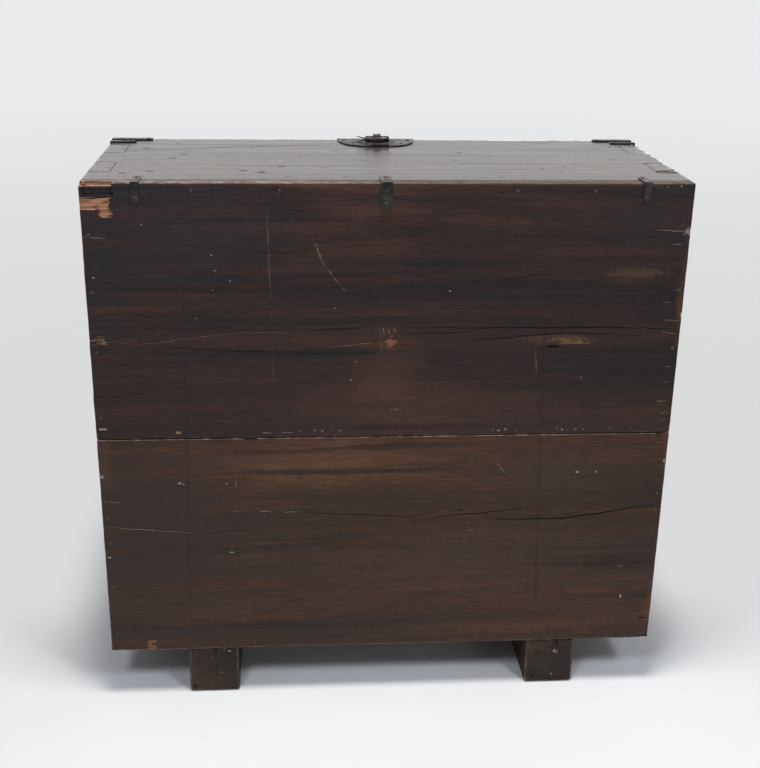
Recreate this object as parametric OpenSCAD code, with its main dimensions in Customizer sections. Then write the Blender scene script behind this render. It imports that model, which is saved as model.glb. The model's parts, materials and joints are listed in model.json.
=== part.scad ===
// Drop front chest: a boarded case on two runners, with its upper front hinged to drop open.
// X runs along the chest, the drop front faces -Y, and Z is up from the floor at Z = 0.
// Every size is in millimetres. Left and right are those of someone facing the drop front.

/* [Case] */
// Width over the side boards
case_w = 900; // [800:5:1000]
// Depth from the front face to the back face
case_d = 388; // [360:2:460]
// Height from the underside of the boards to the top
case_h = 777; // [720:1:860]
// Thickness of the side boards
side_t = 34; // [26:1:40]
// Thickness of the top board
top_t = 28; // [22:1:34]
// Thickness of the bottom board
bottom_t = 24; // [18:1:32]
// Thickness of the two back boards
back_t = 22; // [16:1:28]
// Thickness of the front boards
front_t = 24; // [20:1:30]
// Height of the lower back board
back_seam = 379; // [300:1:450]
// Open joint between the two back boards
seam_gap = 1; // [0.5:0.1:2]

/* [Corner joints] */
// Width of the fingers between the top or bottom board and the sides
finger_w = 82; // [60:1:90]
// Number of fingers between the fixed front board and a side
front_fingers = 6; // [4:2:8]
// How far the top board's front edge lies behind the face of the drop front
top_setback = 0.3; // [0.2:0.1:2]

/* [Runners] */
// Width of each runner
foot_w = 83; // [60:1:110]
// Height of each runner
foot_h = 86; // [60:1:120]
// Distance from each end of the case to the middle of the runner there
foot_end = 166.5; // [120:0.5:200]
// How far the runners stop short of the front and back faces
foot_inset = 3; // [1:1:30]
// Rounding of the lower long edges
foot_round = 5; // [2:0.5:12]

/* [Drop front] */
// Height of the fixed front board
front_h = 402; // [380:1:430]
// Gap between the drop front and the fixed board below it
door_gap = 1.5; // [1:0.1:3]
// Gap between the drop front and the top board
door_top_gap = 2.5; // [2:0.1:5]
// How far the ends of the drop front stop short of the side faces
door_end_gap = 1; // [0.5:0.1:3]
// Running gap between pieces that rest on each other and move apart
rest_gap = 0.3; // [0.2:0.05:0.4]
// Width of the two battens inside the drop front
batten_w = 60; // [40:1:80]
// Thickness of the battens
batten_t = 16; // [10:1:20]
// Distance from a batten to the inside of the side board
batten_inset = 24; // [10:1:60]
// Distance from a batten's ends to the edges of the drop front
batten_end = 18; // [14:1:40]

/* [Hinges] */
// Distance from each end of the case to the middle of the hinge there
hinge_end = 195; // [150:1:240]
// Width of the hinge barrel
barrel_w = 56; // [46:1:70]
// Width across the tips of the swallowtail leaf
tail_w = 76; // [60:1:90]
// Length of each leaf from the pin
leaf_l = 84; // [70:1:100]
// Depth of the notch in the swallowtail
tail_notch = 22; // [10:1:28]
// Thickness of the leaves
leaf_t = 2.5; // [1.8:0.1:3]
// Outside radius of hinge and hasp barrels
barrel_r = 5.5; // [4.8:0.1:6.5]
// Radius of the hinge and hasp pins
pin_r = 2.5; // [2:0.1:3]
// Radial clearance round a pin
pin_fit = 0.05; // [0.02:0.01:0.1]
// Number of knuckles in a hinge
knuckles = 5; // [3:2:7]

/* [Hasp] */
// Width of the half round plate on the top
top_plate_w = 133; // [110:1:150]
// How far that plate reaches back from the front edge
top_plate_d = 77; // [64:1:90]
// Thickness of that plate
top_plate_t = 1.5; // [1:0.1:2.5]
// Distance of the hasp's pin behind the front edge
hasp_back = 42; // [30:1:50]
// Width of the hasp's barrel
hasp_barrel_w = 39; // [32:1:50]
// Width of the hasp's strap and eye
hasp_w = 13; // [10:0.5:18]
// Thickness of the hasp and of the lock straps
hasp_t = 2.5; // [2:0.1:3.5]
// Length of the fixed leaf behind the pin
hasp_leaf_l = 33; // [24:1:40]
// Radius of the roll by which the hasp is lifted
thumb_r = 3.5; // [2.5:0.1:4]
// Outside radius of the bend where the hasp turns down over the edge
hasp_bend = 5; // [4.5:0.1:5.4]
// Length of the legs of the hasp's split pin
split_l = 14.5; // [10:0.5:18]
// Angle between each of those legs and the pin
split_angle = 13; // [5:1:20]

/* [Lock] */
// Width of the lock plate on the drop front
lock_w = 146; // [120:1:170]
// Height of the lock plate
lock_h = 118; // [90:1:140]
// Thickness of the lock plate
lock_t = 2; // [1.5:0.1:2.5]
// Length of the clipped corners of the lock plate
lock_clip = 16; // [8:1:24]
// Radius of the hole for the padlock's bar
padlock_r = 4.2; // [3:0.1:5]
// Wall round the padlock's bar
padlock_wall = 2.8; // [2:0.1:4]
// Height of the padlock's bar below the top of the chest
padlock_drop = 16; // [14:0.5:18]
// Width of each fixed lock eye
lock_eye_w = 8; // [6:0.5:10]
// Side gap between the hasp and each fixed lock eye
lock_side_gap = 1.2; // [0.8:0.1:2]
// Length of the lock strap below the edge of the drop front
lock_strap_l = 34; // [24:1:50]

/* [Handles] */
// Distance between the eyes of a drop front handle
door_bail_w = 104; // [90:1:120]
// Drop of a drop front handle
door_bail_drop = 42; // [36:1:50]
// Distance from the middle of the chest to a drop front handle
door_bail_x = 200; // [170:1:230]
// Height of that handle's pin above the hinge line
door_bail_h = 196; // [170:1:220]
// Distance between the eyes of a side handle
side_bail_w = 128; // [110:1:150]
// Drop of a side handle
side_bail_drop = 52; // [44:1:60]
// Height of the side handle's pin above the underside of the boards
side_bail_h = 500; // [420:1:560]
// Radius of a bail's bar
bail_r = 4; // [3.5:0.1:4.5]
// Radius of a bail's pin ends
bail_pin_r = 3; // [2.5:0.1:3.3]
// Distance of the pin from the face
bail_off = 14; // [13:0.5:16]
// Outside radius of the eyes
eye_r = 7; // [6.5:0.1:8]
// Thickness of the eyes
eye_t = 7; // [6:0.5:8]
// Radius of the eye's shank
shank_r = 3.4; // [3:0.1:4]
// Depth of the shank in the wood
shank_l = 18; // [12:1:20]
// Radius of the round plate under each eye
rosette_r = 17; // [13:1:20]
// Thickness of that plate
rosette_t = 1.8; // [1.2:0.1:2.4]

/* [Iron straps] */
// Thickness of the folded straps
strap_t = 2; // [1.5:0.1:2.5]
// Width of the front corner straps
corner_strap_w = 14; // [10:1:20]
// Length of the front corner straps on the top
corner_strap_l = 67; // [50:1:80]
// How far the front corner straps come down over the end of the top board
corner_strap_down = 24; // [20:1:27]
// Distance from the front edge to the middle of the corner strap
corner_strap_y = 9; // [8:1:12]
// Width of the edge straps behind the corner straps
edge_strap_w = 9; // [7:1:14]
// Length of each leg of the edge straps
edge_strap_l = 42; // [30:1:55]
// Distance from the front edge to the middle of the edge strap
edge_strap_y = 36; // [26:1:44]
// Width of the two outer back straps
back_strap_w = 12; // [8:1:18]
// Drop of the outer back straps down the back
back_strap_drop = 30; // [24:1:45]
// Length of the back straps on the top
back_strap_top = 42; // [30:1:55]
// Width of the middle back strap
mid_strap_w = 18; // [12:1:24]
// Drop of the middle back strap
mid_strap_drop = 38; // [28:1:50]
// Distance from the left end of the case to the middle of the left back strap
left_strap_end = 72; // [50:1:100]
// Distance from the right end of the case to the middle of the right back strap
right_strap_end = 80; // [50:1:100]
// How far the middle back strap lies to the right of the middle of the case
mid_strap_x = 8; // [-20:1:20]
// Width of the straps round the front corners of the fixed board
front_strap_w = 16; // [12:1:24]
// Length of each leg of those straps
front_strap_l = 58; // [44:1:70]
// Heights of those straps above the underside of the boards
front_strap_z = [56, 336];

/* [Nails] */
// Radius of the nail shanks
nail_r = 1.5; // [1:0.1:1.8]
// Radial clearance of nails and shanks in their holes
nail_fit = 0.05; // [0.02:0.01:0.1]
// Radius of the nail heads
nail_head_r = 3; // [2.5:0.1:3.5]
// Height of the nail heads
nail_head_h = 1.1; // [0.8:0.1:1.5]
// Depth of the long nails in the second board
nail_bite = 22; // [16:1:30]
// Depth of the short nails in the wood
short_nail = 12; // [8:1:15]
// Distance of the back nails from the ends of the boards
back_nail_inset = 10; // [7:0.5:12]
// Distance of the back nails from the upper and lower edges
back_nail_row = 12; // [9:0.5:13]
// Heights of the nails along both ends of the back
back_nail_z = [32, 120, 198, 242, 271, 317, 360, 414, 520, 614, 700];
// Places of the nails along the top of the back
back_nail_top_x = [-300, -185, 163, 290];
// Places of the nails along the bottom of the back
back_nail_bottom_x = [-380, -20, 215, 381];
// Distance between the nails in the underside of a runner
foot_nail_span = 250; // [180:1:300]

/* [Hidden] */
$fn = 48;
// How far a cut reaches past the face that it leaves
past = 1;

case_wood = [0.24, 0.18, 0.16];
top_wood = [0.30, 0.25, 0.23];
foot_wood = [0.22, 0.18, 0.16];
iron = [0.16, 0.15, 0.15];
nail_iron = [0.30, 0.28, 0.26];

// Shares of a size, and small sizes of the ironwork
nail_dome = 0.55;
nail_end_gap = 0.2;
batten_nail_shares = [0.2, 0.8];
plate_nail_shares = [[0.42, 0.16], [0.31, 0.62]];
plate_power = 2.5;
plate_points = 28;
leaf_neck = 14;
pin_head_r = barrel_r * 0.8;
pin_head_t = 1.5;
split_r = pin_r / 2;
hasp_leaf_t = 2;
hasp_nail_side = 7;
hasp_nail_end = 9;
lock_edge = 4;
lock_nail_side = 10;
lock_nail_end = 16;
lock_strap_nail = 18;
bail_bend = 8;
bail_corner = 14;
bail_swell = 1.3;
bail_pin_end = 3;
collar_t = 1.6;
collar_r = shank_r + 1;
collar_foot_r = shank_r + 2.4;
rosette_rim = 0.6;
rosette_bevel = 3;
strap_nail_inset = 8;
strap_tip = 5;

// The eyes of the drop front handles stand proudest at the front, the strap nails at the back.
// The case is set off by half the difference, so that the origin is below the middle of the whole.
front_proud = bail_off + eye_r;
back_proud = strap_t + nail_head_h;
y_front = (front_proud - back_proud - case_d) / 2;
y_back = y_front + case_d;
y_in = y_front + front_t;
y_rear = y_back - back_t;
y_mid = (y_front + y_back) / 2;
joint_mid = (y_front + y_rear) / 2;
z_case = foot_h;
z_floor = z_case + bottom_t;
z_top = z_case + case_h;
z_under = z_top - top_t;
x_out = case_w / 2;
x_in = x_out - side_t;

z_front = z_case + front_h;
front_finger_w = front_h / front_fingers;
hinge_x = x_out - hinge_end;
hinge_z = z_front + door_gap / 2;
hinge_y = y_front - barrel_r - rest_gap;
door_lo = z_front + door_gap;
door_hi = z_under - door_top_gap;
door_t = front_t - rest_gap;

hasp_y = y_front + hasp_back;
hasp_z = z_top + top_plate_t + barrel_r + rest_gap;
padlock_or = padlock_r + padlock_wall;
padlock_z = z_top - padlock_drop;
hasp_front = y_front - lock_t - hasp_t;
padlock_y = hasp_front - padlock_r - 0.3;

hasp_leaf_lift = top_plate_t + hasp_leaf_t;
hasp_strap_z = z_top + top_plate_t + rest_gap;
lock_lo = door_hi - lock_h - lock_edge;
lock_eye_x = hasp_w / 2 + lock_side_gap + lock_eye_w / 2;
lock_strap_lo = door_hi - lock_strap_l + lock_eye_w / 2;
thumb_reach = barrel_r + thumb_r + rest_gap;
hinge_nail_rows = [[leaf_neck + 4, 16], [leaf_l - 12, tail_w / 2 - 8], [leaf_l / 2, 13]];

door_in = y_front + door_t;
batten_x = x_in - batten_inset - batten_w / 2;
batten_lo = door_lo + batten_end;
batten_hi = door_hi - batten_end;
foot_x = x_out - foot_end;
foot_y0 = y_front + foot_inset;
foot_y1 = y_back - foot_inset;

door_bail_z = hinge_z + door_bail_h;
side_bail_z = z_case + side_bail_h;
back_strap_x = [left_strap_end - x_out, mid_strap_x, x_out - right_strap_end];

// Basic shapes

module block(lo, hi) translate(lo) cube(hi - lo);

module rod_x(r, x0, x1) translate([x0, 0, 0]) rotate([0, 90, 0]) cylinder(r = r, h = x1 - x0);

module flip_x(s) mirror([s < 0 ? 1 : 0, 0, 0]) children();

// Faces of the case: the child's Z points out of the face

module on_back(x, z) translate([x, y_back, z]) rotate([-90, 0, 0]) children();

module on_front(x, z, lift = 0) translate([x, y_front - lift, z]) rotate([90, 0, 0]) children();

module on_top(x, y, lift = 0) translate([x, y, z_top + lift]) children();

module on_side(s, y, z) translate([s * x_out, y, z]) rotate([0, s * 90, 0]) children();

// Nails: a low domed head above the surface and a round shank below it

module nail(l) {
    translate([0, 0, -l]) cylinder(r = nail_r, h = l);
    cylinder(r1 = nail_head_r, r2 = nail_head_r * nail_dome, h = nail_head_h);
}

module nail_hole(l) translate([0, 0, -l - nail_end_gap])
    cylinder(r = nail_r + nail_fit, h = l + 2 * nail_end_gap);

// Places of the nails, each with its Z out of the surface that the head sits on

module back_nail_places() {
    for (s = [-1, 1], h = back_nail_z) on_back(s * (x_out - back_nail_inset), z_case + h) children();
    for (x = back_nail_top_x) on_back(x, z_top - back_nail_row) children();
    for (x = back_nail_bottom_x) on_back(x, z_case + back_nail_row) children();
}

module foot_nail_places() for (s = [-1, 1], t = [-0.5, 0.5])
    translate([s * foot_x, y_mid + t * foot_nail_span, z_floor]) children();

module hasp_nail_places() for (s = [-1, 1])
    on_top(s * (hasp_barrel_w / 2 - hasp_nail_side), hasp_y + hasp_leaf_l - hasp_nail_end, hasp_leaf_lift)
        children();

module top_plate_nail_places() for (s = [-1, 1], h = plate_nail_shares)
    on_top(s * h[0] * top_plate_w, y_front + h[1] * top_plate_d, top_plate_t) children();

module hinge_nail_places(side) {
    for (s = [-1, 1], h = hinge_nail_rows)
        on_front(s * hinge_x, hinge_z + side * h[0], leaf_t) {
            translate([h[1], 0, 0]) children();
            translate([-h[1], 0, 0]) children();
        }
}

module lock_nail_places() {
    for (s = [-1, 1], z = [lock_lo + lock_nail_end, lock_lo + lock_h - lock_nail_end])
        on_front(s * (lock_w / 2 - lock_nail_side), z, lock_t) children();
    for (s = [-1, 1]) on_front(s * lock_eye_x, door_hi - lock_strap_nail, lock_t + hasp_t) children();
}

module batten_nail_places() for (s = [-1, 1], h = batten_nail_shares)
    translate([s * batten_x, door_in + batten_t, batten_lo + h * (batten_hi - batten_lo)])
        rotate([-90, 0, 0]) children();

// Boards of the case

// The side boards keep a finger on each side of the middle finger of the top and bottom boards.
module slots_for_sides(z0, z1) for (s = [-1, 1], k = [-1, 1])
    translate([s > 0 ? x_in : -x_out - past, joint_mid + (k - 0.5) * finger_w, z0 - past])
        cube([side_t + past, finger_w, z1 - z0 + 2 * past]);

module side_profile() {
    translate([y_in, z_floor]) square([y_rear - y_in, z_under - z_floor]);
    for (k = [-1, 1]) translate([joint_mid + (k - 0.5) * finger_w, z_case]) square([finger_w, case_h]);
    for (k = [1 : 2 : front_fingers - 1]) translate([y_front, z_case + k * front_finger_w])
        square([front_t + past, front_finger_w]);
}

module side_board(s) color(case_wood) difference() {
    translate([s > 0 ? x_in : -x_out, 0, 0]) rotate([90, 0, 90]) linear_extrude(side_t) side_profile();
    back_nail_places() nail_hole(back_t + nail_bite);
    side_eye_places(s) shank_hole();
    case_strap_places(s) nail_hole(short_nail + strap_t);
}

module side_left() side_board(-1);

module side_right() side_board(1);

module top_board() color(top_wood) difference() {
    block([-x_out, y_front + top_setback, z_under], [x_out, y_rear, z_top]);
    slots_for_sides(z_under, z_top);
    back_nail_places() nail_hole(back_t + nail_bite);
    for (s = [-1, 1]) case_strap_places(s) nail_hole(short_nail + strap_t);
    back_strap_places() nail_hole(short_nail + strap_t);
    top_plate_nail_places() nail_hole(short_nail + top_plate_t);
    hasp_nail_places() nail_hole(short_nail + hasp_leaf_lift);
}

module bottom_board() color(case_wood) difference() {
    block([-x_out, y_in, z_case], [x_out, y_rear, z_floor]);
    slots_for_sides(z_case, z_floor);
    back_nail_places() nail_hole(back_t + nail_bite);
    foot_nail_places() nail_hole(bottom_t + nail_bite);
}

module back_board(z0, z1) color(case_wood) difference() {
    block([-x_out, y_rear, z0], [x_out, y_back, z1]);
    back_nail_places() nail_hole(back_t + nail_bite);
    back_strap_places() nail_hole(short_nail + strap_t);
}

module back_lower() back_board(z_case, z_case + back_seam - seam_gap);

module back_upper() back_board(z_case + back_seam, z_top);

module front_lower() color(case_wood) difference() {
    block([-x_out, y_front, z_case], [x_out, y_in, z_front]);
    for (s = [-1, 1], k = [1 : 2 : front_fingers - 1])
        translate([s > 0 ? x_in : -x_out - past, y_front - past, z_case + k * front_finger_w])
            cube([side_t + past, front_t + 2 * past, k == front_fingers - 1 ? front_h : front_finger_w]);
    for (s = [-1, 1]) case_strap_places(s) nail_hole(short_nail + strap_t);
    hinge_nail_places(-1) nail_hole(short_nail + leaf_t);
}

// Runners: square timber with the two lower long edges rounded

module runner(s) color(foot_wood) difference() {
    translate([s * foot_x, 0, 0]) {
        block([-foot_w / 2, foot_y0, foot_round], [foot_w / 2, foot_y1, foot_h]);
        block([foot_round - foot_w / 2, foot_y0, 0], [foot_w / 2 - foot_round, foot_y1, foot_h]);
        for (t = [-1, 1]) translate([t * (foot_w / 2 - foot_round), foot_y0, foot_round])
            rotate([-90, 0, 0]) cylinder(r = foot_round, h = foot_y1 - foot_y0);
    }
    foot_nail_places() nail_hole(bottom_t + nail_bite);
}

module foot_left() runner(-1);

module foot_right() runner(1);

module foot_nails() color(nail_iron) foot_nail_places() nail(bottom_t + nail_bite);

module back_nails() color(nail_iron) back_nail_places() nail(back_t + nail_bite);

// Drop front and its battens

module drop_front() color(case_wood) difference() {
    block([door_end_gap - x_out, y_front, door_lo], [x_out - door_end_gap, door_in, door_hi]);
    hinge_nail_places(1) nail_hole(short_nail + leaf_t);
    lock_nail_places() nail_hole(short_nail + lock_t + hasp_t);
    for (s = [-1, 1]) door_eye_places(s) shank_hole();
    batten_nail_places() nail_hole(short_nail + batten_t);
}

module batten(s) color(case_wood) difference() {
    block([s * batten_x - batten_w / 2, door_in, batten_lo],
        [s * batten_x + batten_w / 2, door_in + batten_t, batten_hi]);
    batten_nail_places() nail_hole(short_nail + batten_t);
}

module batten_left() batten(-1);

module batten_right() batten(1);

module batten_nails() color(nail_iron) batten_nail_places() nail(short_nail + batten_t);

// Hinges: in a leaf's own frame the pin runs along X, the leaf stands up and the wood is at +Y

function knuckle_lo(i) = -barrel_w / 2 + i * barrel_w / knuckles + rest_gap / 2;

module hinge_leaf(first) difference() {
    union() {
        translate([0, barrel_r + rest_gap, 0]) rotate([90, 0, 0]) linear_extrude(leaf_t)
            polygon([[-barrel_w / 2, rest_gap], [barrel_w / 2, rest_gap], [barrel_w / 2, leaf_neck],
                [tail_w / 2, leaf_l], [0, leaf_l - tail_notch], [-tail_w / 2, leaf_l],
                [-barrel_w / 2, leaf_neck]]);
        for (i = [first : 2 : knuckles - 1]) rod_x(barrel_r, knuckle_lo(i), knuckle_lo(i + 1) - rest_gap);
    }
    for (i = [1 - first : 2 : knuckles - 1])
        rod_x(barrel_r + rest_gap, knuckle_lo(i) - rest_gap, knuckle_lo(i + 1));
    rod_x(pin_r + pin_fit, -barrel_w, barrel_w);
}

module at_hinge(s) translate([s * hinge_x, hinge_y, hinge_z]) children();

module hinge_upper(s) color(iron) difference() {
    at_hinge(s) hinge_leaf(1);
    hinge_nail_places(1) nail_hole(short_nail + leaf_t);
}

module hinge_lower(s) color(iron) difference() {
    at_hinge(s) mirror([0, 0, 1]) hinge_leaf(0);
    hinge_nail_places(-1) nail_hole(short_nail + leaf_t);
}

module hinge_upper_left() hinge_upper(-1);

module hinge_upper_right() hinge_upper(1);

module hinge_lower_left() hinge_lower(-1);

module hinge_lower_right() hinge_lower(1);

// A pin whose heads lie just clear of the ends of its barrel
module pin_head(w, s) flip_x(s) rod_x(pin_head_r, w / 2 + rest_gap, w / 2 + rest_gap + pin_head_t);

module hinge_pin(s) color(iron) at_hinge(s) {
    rod_x(pin_r, -barrel_w / 2 - rest_gap - pin_head_t, barrel_w / 2 + rest_gap + pin_head_t);
    for (t = [-1, 1]) pin_head(barrel_w, t);
}

module hinge_pin_left() hinge_pin(-1);

module hinge_pin_right() hinge_pin(1);

module hinge_lower_nails() color(nail_iron) hinge_nail_places(-1) nail(short_nail + leaf_t);

module hinge_upper_nails() color(nail_iron) hinge_nail_places(1) nail(short_nail + leaf_t);

// Hasp on the top, which folds down over the front edge

// A round-shouldered plate: half of a superellipse, from the front edge backwards
function plate_x(a) = top_plate_w / 2 * sign(cos(a)) * pow(abs(cos(a)), 2 / plate_power);
function plate_y(a) = top_plate_d * pow(abs(sin(a)), 2 / plate_power);

module hasp_top_plate() color(iron) difference() {
    on_top(0, y_front + top_setback) linear_extrude(top_plate_t)
        polygon([for (i = [0 : plate_points], a = 180 * i / plate_points) [plate_x(a), plate_y(a)]]);
    top_plate_nail_places() nail_hole(short_nail + top_plate_t);
    hasp_nail_places() nail_hole(short_nail + hasp_leaf_lift);
}

module at_hasp() translate([0, hasp_y, hasp_z]) children();

// Two outer knuckles on a leaf, which is cut back behind the hasp's thumb roll
module hasp_leaf() color(iron) difference() {
    union() {
        for (s = [-1, 1]) flip_x(s) {
            at_hasp() rod_x(barrel_r, hasp_w / 2 + rest_gap, hasp_barrel_w / 2);
            block([hasp_w / 2 + rest_gap, hasp_y, z_top + top_plate_t],
                [hasp_barrel_w / 2, hasp_y + hasp_leaf_l, z_top + hasp_leaf_lift]);
        }
        block([-hasp_barrel_w / 2, hasp_y + thumb_reach, z_top + top_plate_t],
            [hasp_barrel_w / 2, hasp_y + hasp_leaf_l, z_top + hasp_leaf_lift]);
    }
    at_hasp() rod_x(pin_r + pin_fit, -hasp_barrel_w, hasp_barrel_w);
    hasp_nail_places() nail_hole(short_nail + hasp_leaf_lift);
}

// A split pin: a head at one end and two spread legs at the other
module hasp_pin() color(iron) at_hasp() {
    rod_x(pin_r, -hasp_barrel_w / 2 - rest_gap - pin_head_t, hasp_barrel_w / 2 + rest_gap + pin_r);
    pin_head(hasp_barrel_w, -1);
    for (t = [-1, 1]) translate([hasp_barrel_w / 2 + 2 * rest_gap, 0, t * split_r])
        rotate([0, 90 - t * split_angle, 0]) cylinder(r1 = split_r, r2 = split_r * 0.6, h = split_l);
}

// The hasp's strap, seen from its side: along the top, round the bend and down the front
module hasp_strap_outline() {
    bend_y = hasp_front + hasp_bend;
    bend_z = hasp_strap_z + hasp_t - hasp_bend;
    translate([bend_y, hasp_strap_z]) square([hasp_y - bend_y, hasp_t]);
    translate([hasp_front, padlock_z]) square([hasp_t, bend_z - padlock_z]);
    intersection() {
        translate([bend_y, bend_z]) difference() {
            circle(r = hasp_bend);
            circle(r = hasp_bend - hasp_t);
        }
        translate([hasp_front, bend_z]) square(hasp_bend);
    }
}

module hasp() color(iron) difference() {
    union() {
        at_hasp() {
            rod_x(barrel_r, -hasp_w / 2, hasp_w / 2);
            translate([0, 0, barrel_r]) rod_x(thumb_r, -hasp_w / 2, hasp_w / 2);
        }
        translate([-hasp_w / 2, 0, 0]) rotate([90, 0, 90]) linear_extrude(hasp_w) hasp_strap_outline();
        at_padlock() rod_x(padlock_or, -hasp_w / 2, hasp_w / 2);
    }
    at_hasp() rod_x(pin_r + pin_fit, -hasp_w, hasp_w);
    at_padlock() rod_x(padlock_r, -hasp_w, hasp_w);
}

module hasp_nails() color(nail_iron) {
    hasp_nail_places() nail(short_nail + hasp_leaf_lift);
    top_plate_nail_places() nail(short_nail + top_plate_t);
}

// Lock plate on the drop front, with an eye on each side of the hasp's eye

module at_padlock() translate([0, padlock_y, padlock_z]) children();

module lock_plate() color(iron) difference() {
    on_front(0, lock_lo) linear_extrude(lock_t) polygon([
        [lock_clip - lock_w / 2, 0], [lock_w / 2 - lock_clip, 0], [lock_w / 2, lock_clip],
        [lock_w / 2, lock_h - lock_clip], [lock_w / 2 - lock_clip, lock_h],
        [lock_clip - lock_w / 2, lock_h], [-lock_w / 2, lock_h - lock_clip], [-lock_w / 2, lock_clip]]);
    lock_nail_places() nail_hole(short_nail + lock_t + hasp_t);
}

module lock_eyes() color(iron) difference() {
    for (s = [-1, 1]) translate([s * lock_eye_x, 0, 0]) {
        translate([0, padlock_y, padlock_z]) rod_x(padlock_or, -lock_eye_w / 2, lock_eye_w / 2);
        block([-lock_eye_w / 2, hasp_front, lock_strap_lo], [lock_eye_w / 2, hasp_front + hasp_t, padlock_z]);
        on_front(0, lock_strap_lo, lock_t) cylinder(r = lock_eye_w / 2, h = hasp_t);
    }
    at_padlock() rod_x(padlock_r, -lock_w, lock_w);
    lock_nail_places() nail_hole(short_nail + lock_t + hasp_t);
}

module lock_nails() color(nail_iron) lock_nail_places() nail(short_nail + lock_t);

// Bail handles. In a bail's own frame its pins run along X and it hangs down -Z.

module bend(r, bar) rotate([90, 0, 0]) rotate_extrude(angle = 90) translate([r, 0]) circle(r = bar);

module bail(w, drop) {
    pin_in = w / 2 - eye_t / 2 - rest_gap;
    leg_x = pin_in - bail_bend;
    grip_x = leg_x - bail_corner;
    for (s = [0, 1]) mirror([s, 0, 0]) {
        rod_x(bail_pin_r, pin_in - rest_gap, w / 2 + eye_t / 2 + bail_pin_end);
        translate([pin_in, 0, -bail_bend]) rotate([0, -90, 0]) bend(bail_bend, bail_r);
        translate([leg_x, 0, bail_corner - drop]) cylinder(r = bail_r, h = drop - bail_corner - bail_bend);
        translate([grip_x, 0, bail_corner - drop]) rotate([0, 90, 0]) bend(bail_corner, bail_r);
        translate([0, 0, -drop]) rotate([0, 90, 0])
            cylinder(r1 = bail_r * bail_swell, r2 = bail_r, h = grip_x);
    }
}

// An eye on a round shank, in a frame with Z out of the face and the pin along X
module eye() difference() {
    union() {
        translate([0, 0, -shank_l]) cylinder(r = shank_r, h = shank_l + bail_off);
        translate([0, 0, rosette_t]) cylinder(r1 = collar_foot_r, r2 = collar_r, h = collar_t);
        translate([0, 0, bail_off]) rod_x(eye_r, -eye_t / 2, eye_t / 2);
    }
    translate([0, 0, bail_off]) rod_x(bail_pin_r + pin_fit, -eye_t, eye_t);
}

module shank_hole() translate([0, 0, -shank_l - nail_end_gap])
    cylinder(r = shank_r + nail_fit, h = shank_l + nail_end_gap + past);

module rosette() difference() {
    rotate_extrude() polygon([[0, 0], [rosette_r, 0], [rosette_r, rosette_rim],
        [rosette_r - rosette_bevel, rosette_t], [0, rosette_t]]);
    translate([0, 0, -past]) cylinder(r = shank_r + nail_fit, h = rosette_t + 2 * past);
}

module door_eye_places(s) for (t = [-0.5, 0.5])
    on_front(s * door_bail_x + t * door_bail_w, door_bail_z) children();

module side_eye_places(s) for (t = [-0.5, 0.5])
    on_side(s, y_mid + t * side_bail_w, side_bail_z) rotate([0, 0, 90]) children();

module door_bail(s) color(iron) translate([s * door_bail_x, y_front - bail_off, door_bail_z])
    bail(door_bail_w, door_bail_drop);

module side_bail(s) color(iron) translate([s * (x_out + bail_off), y_mid, side_bail_z])
    rotate([0, 0, 90]) bail(side_bail_w, side_bail_drop);

module door_bail_left() door_bail(-1);

module door_bail_right() door_bail(1);

module side_bail_left() side_bail(-1);

module side_bail_right() side_bail(1);

module door_eyes_left() color(iron) door_eye_places(-1) eye();

module door_eyes_right() color(iron) door_eye_places(1) eye();

module side_eyes_left() color(iron) side_eye_places(-1) eye();

module side_eyes_right() color(iron) side_eye_places(1) eye();

module door_rosettes_left() color(iron) door_eye_places(-1) rosette();

module door_rosettes_right() color(iron) door_eye_places(1) rosette();

module side_rosettes_left() color(iron) side_eye_places(-1) rosette();

module side_rosettes_right() color(iron) side_eye_places(1) rosette();

// Folded iron straps. In a strap's own frame the edge it folds over runs along Y at the origin,
// one leg lies on the upper face towards -X and the other hangs down the face at +X.

module leg_outline(w, l, tip) polygon([[-strap_t, -w / 2], [l - tip, -w / 2], [l, -w / 6], [l, w / 6],
    [l - tip, w / 2], [-strap_t, w / 2]]);

module folded_strap(w, top_l, down_l, tip = 0) {
    mirror([1, 0, 0]) linear_extrude(strap_t) leg_outline(w, top_l, tip);
    rotate([0, 90, 0]) linear_extrude(strap_t) leg_outline(w, down_l, tip);
}

module strap_leg_nails(top_l, down_l) {
    translate([strap_nail_inset - top_l, 0, strap_t]) children();
    translate([strap_t, 0, strap_nail_inset - down_l]) rotate([0, 90, 0]) children();
}

module at_corner_strap(s, y) flip_x(s) translate([x_out, y_front + y, z_top]) children();

module at_back_strap(i) translate([back_strap_x[i], y_back, z_top]) rotate([0, 0, 90]) children();

module at_front_strap(s, h) flip_x(s) translate([x_out, y_front, z_case + h]) rotate([90, 0, 0]) children();

module case_strap_places(s) {
    at_corner_strap(s, corner_strap_y) strap_leg_nails(corner_strap_l, corner_strap_down) children();
    at_corner_strap(s, edge_strap_y) strap_leg_nails(edge_strap_l, edge_strap_l) children();
    for (h = front_strap_z) at_front_strap(s, h) strap_leg_nails(front_strap_l, front_strap_l) children();
}

module back_strap_places() for (i = [0 : 2])
    at_back_strap(i) strap_leg_nails(back_strap_top, i == 1 ? mid_strap_drop : back_strap_drop) children();

module corner_strap(s) color(iron) difference() {
    at_corner_strap(s, corner_strap_y)
        folded_strap(corner_strap_w, corner_strap_l, corner_strap_down, strap_tip);
    case_strap_places(s) nail_hole(short_nail + strap_t);
}

module edge_strap(s) color(iron) difference() {
    at_corner_strap(s, edge_strap_y) folded_strap(edge_strap_w, edge_strap_l, edge_strap_l, strap_tip);
    case_strap_places(s) nail_hole(short_nail + strap_t);
}

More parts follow.
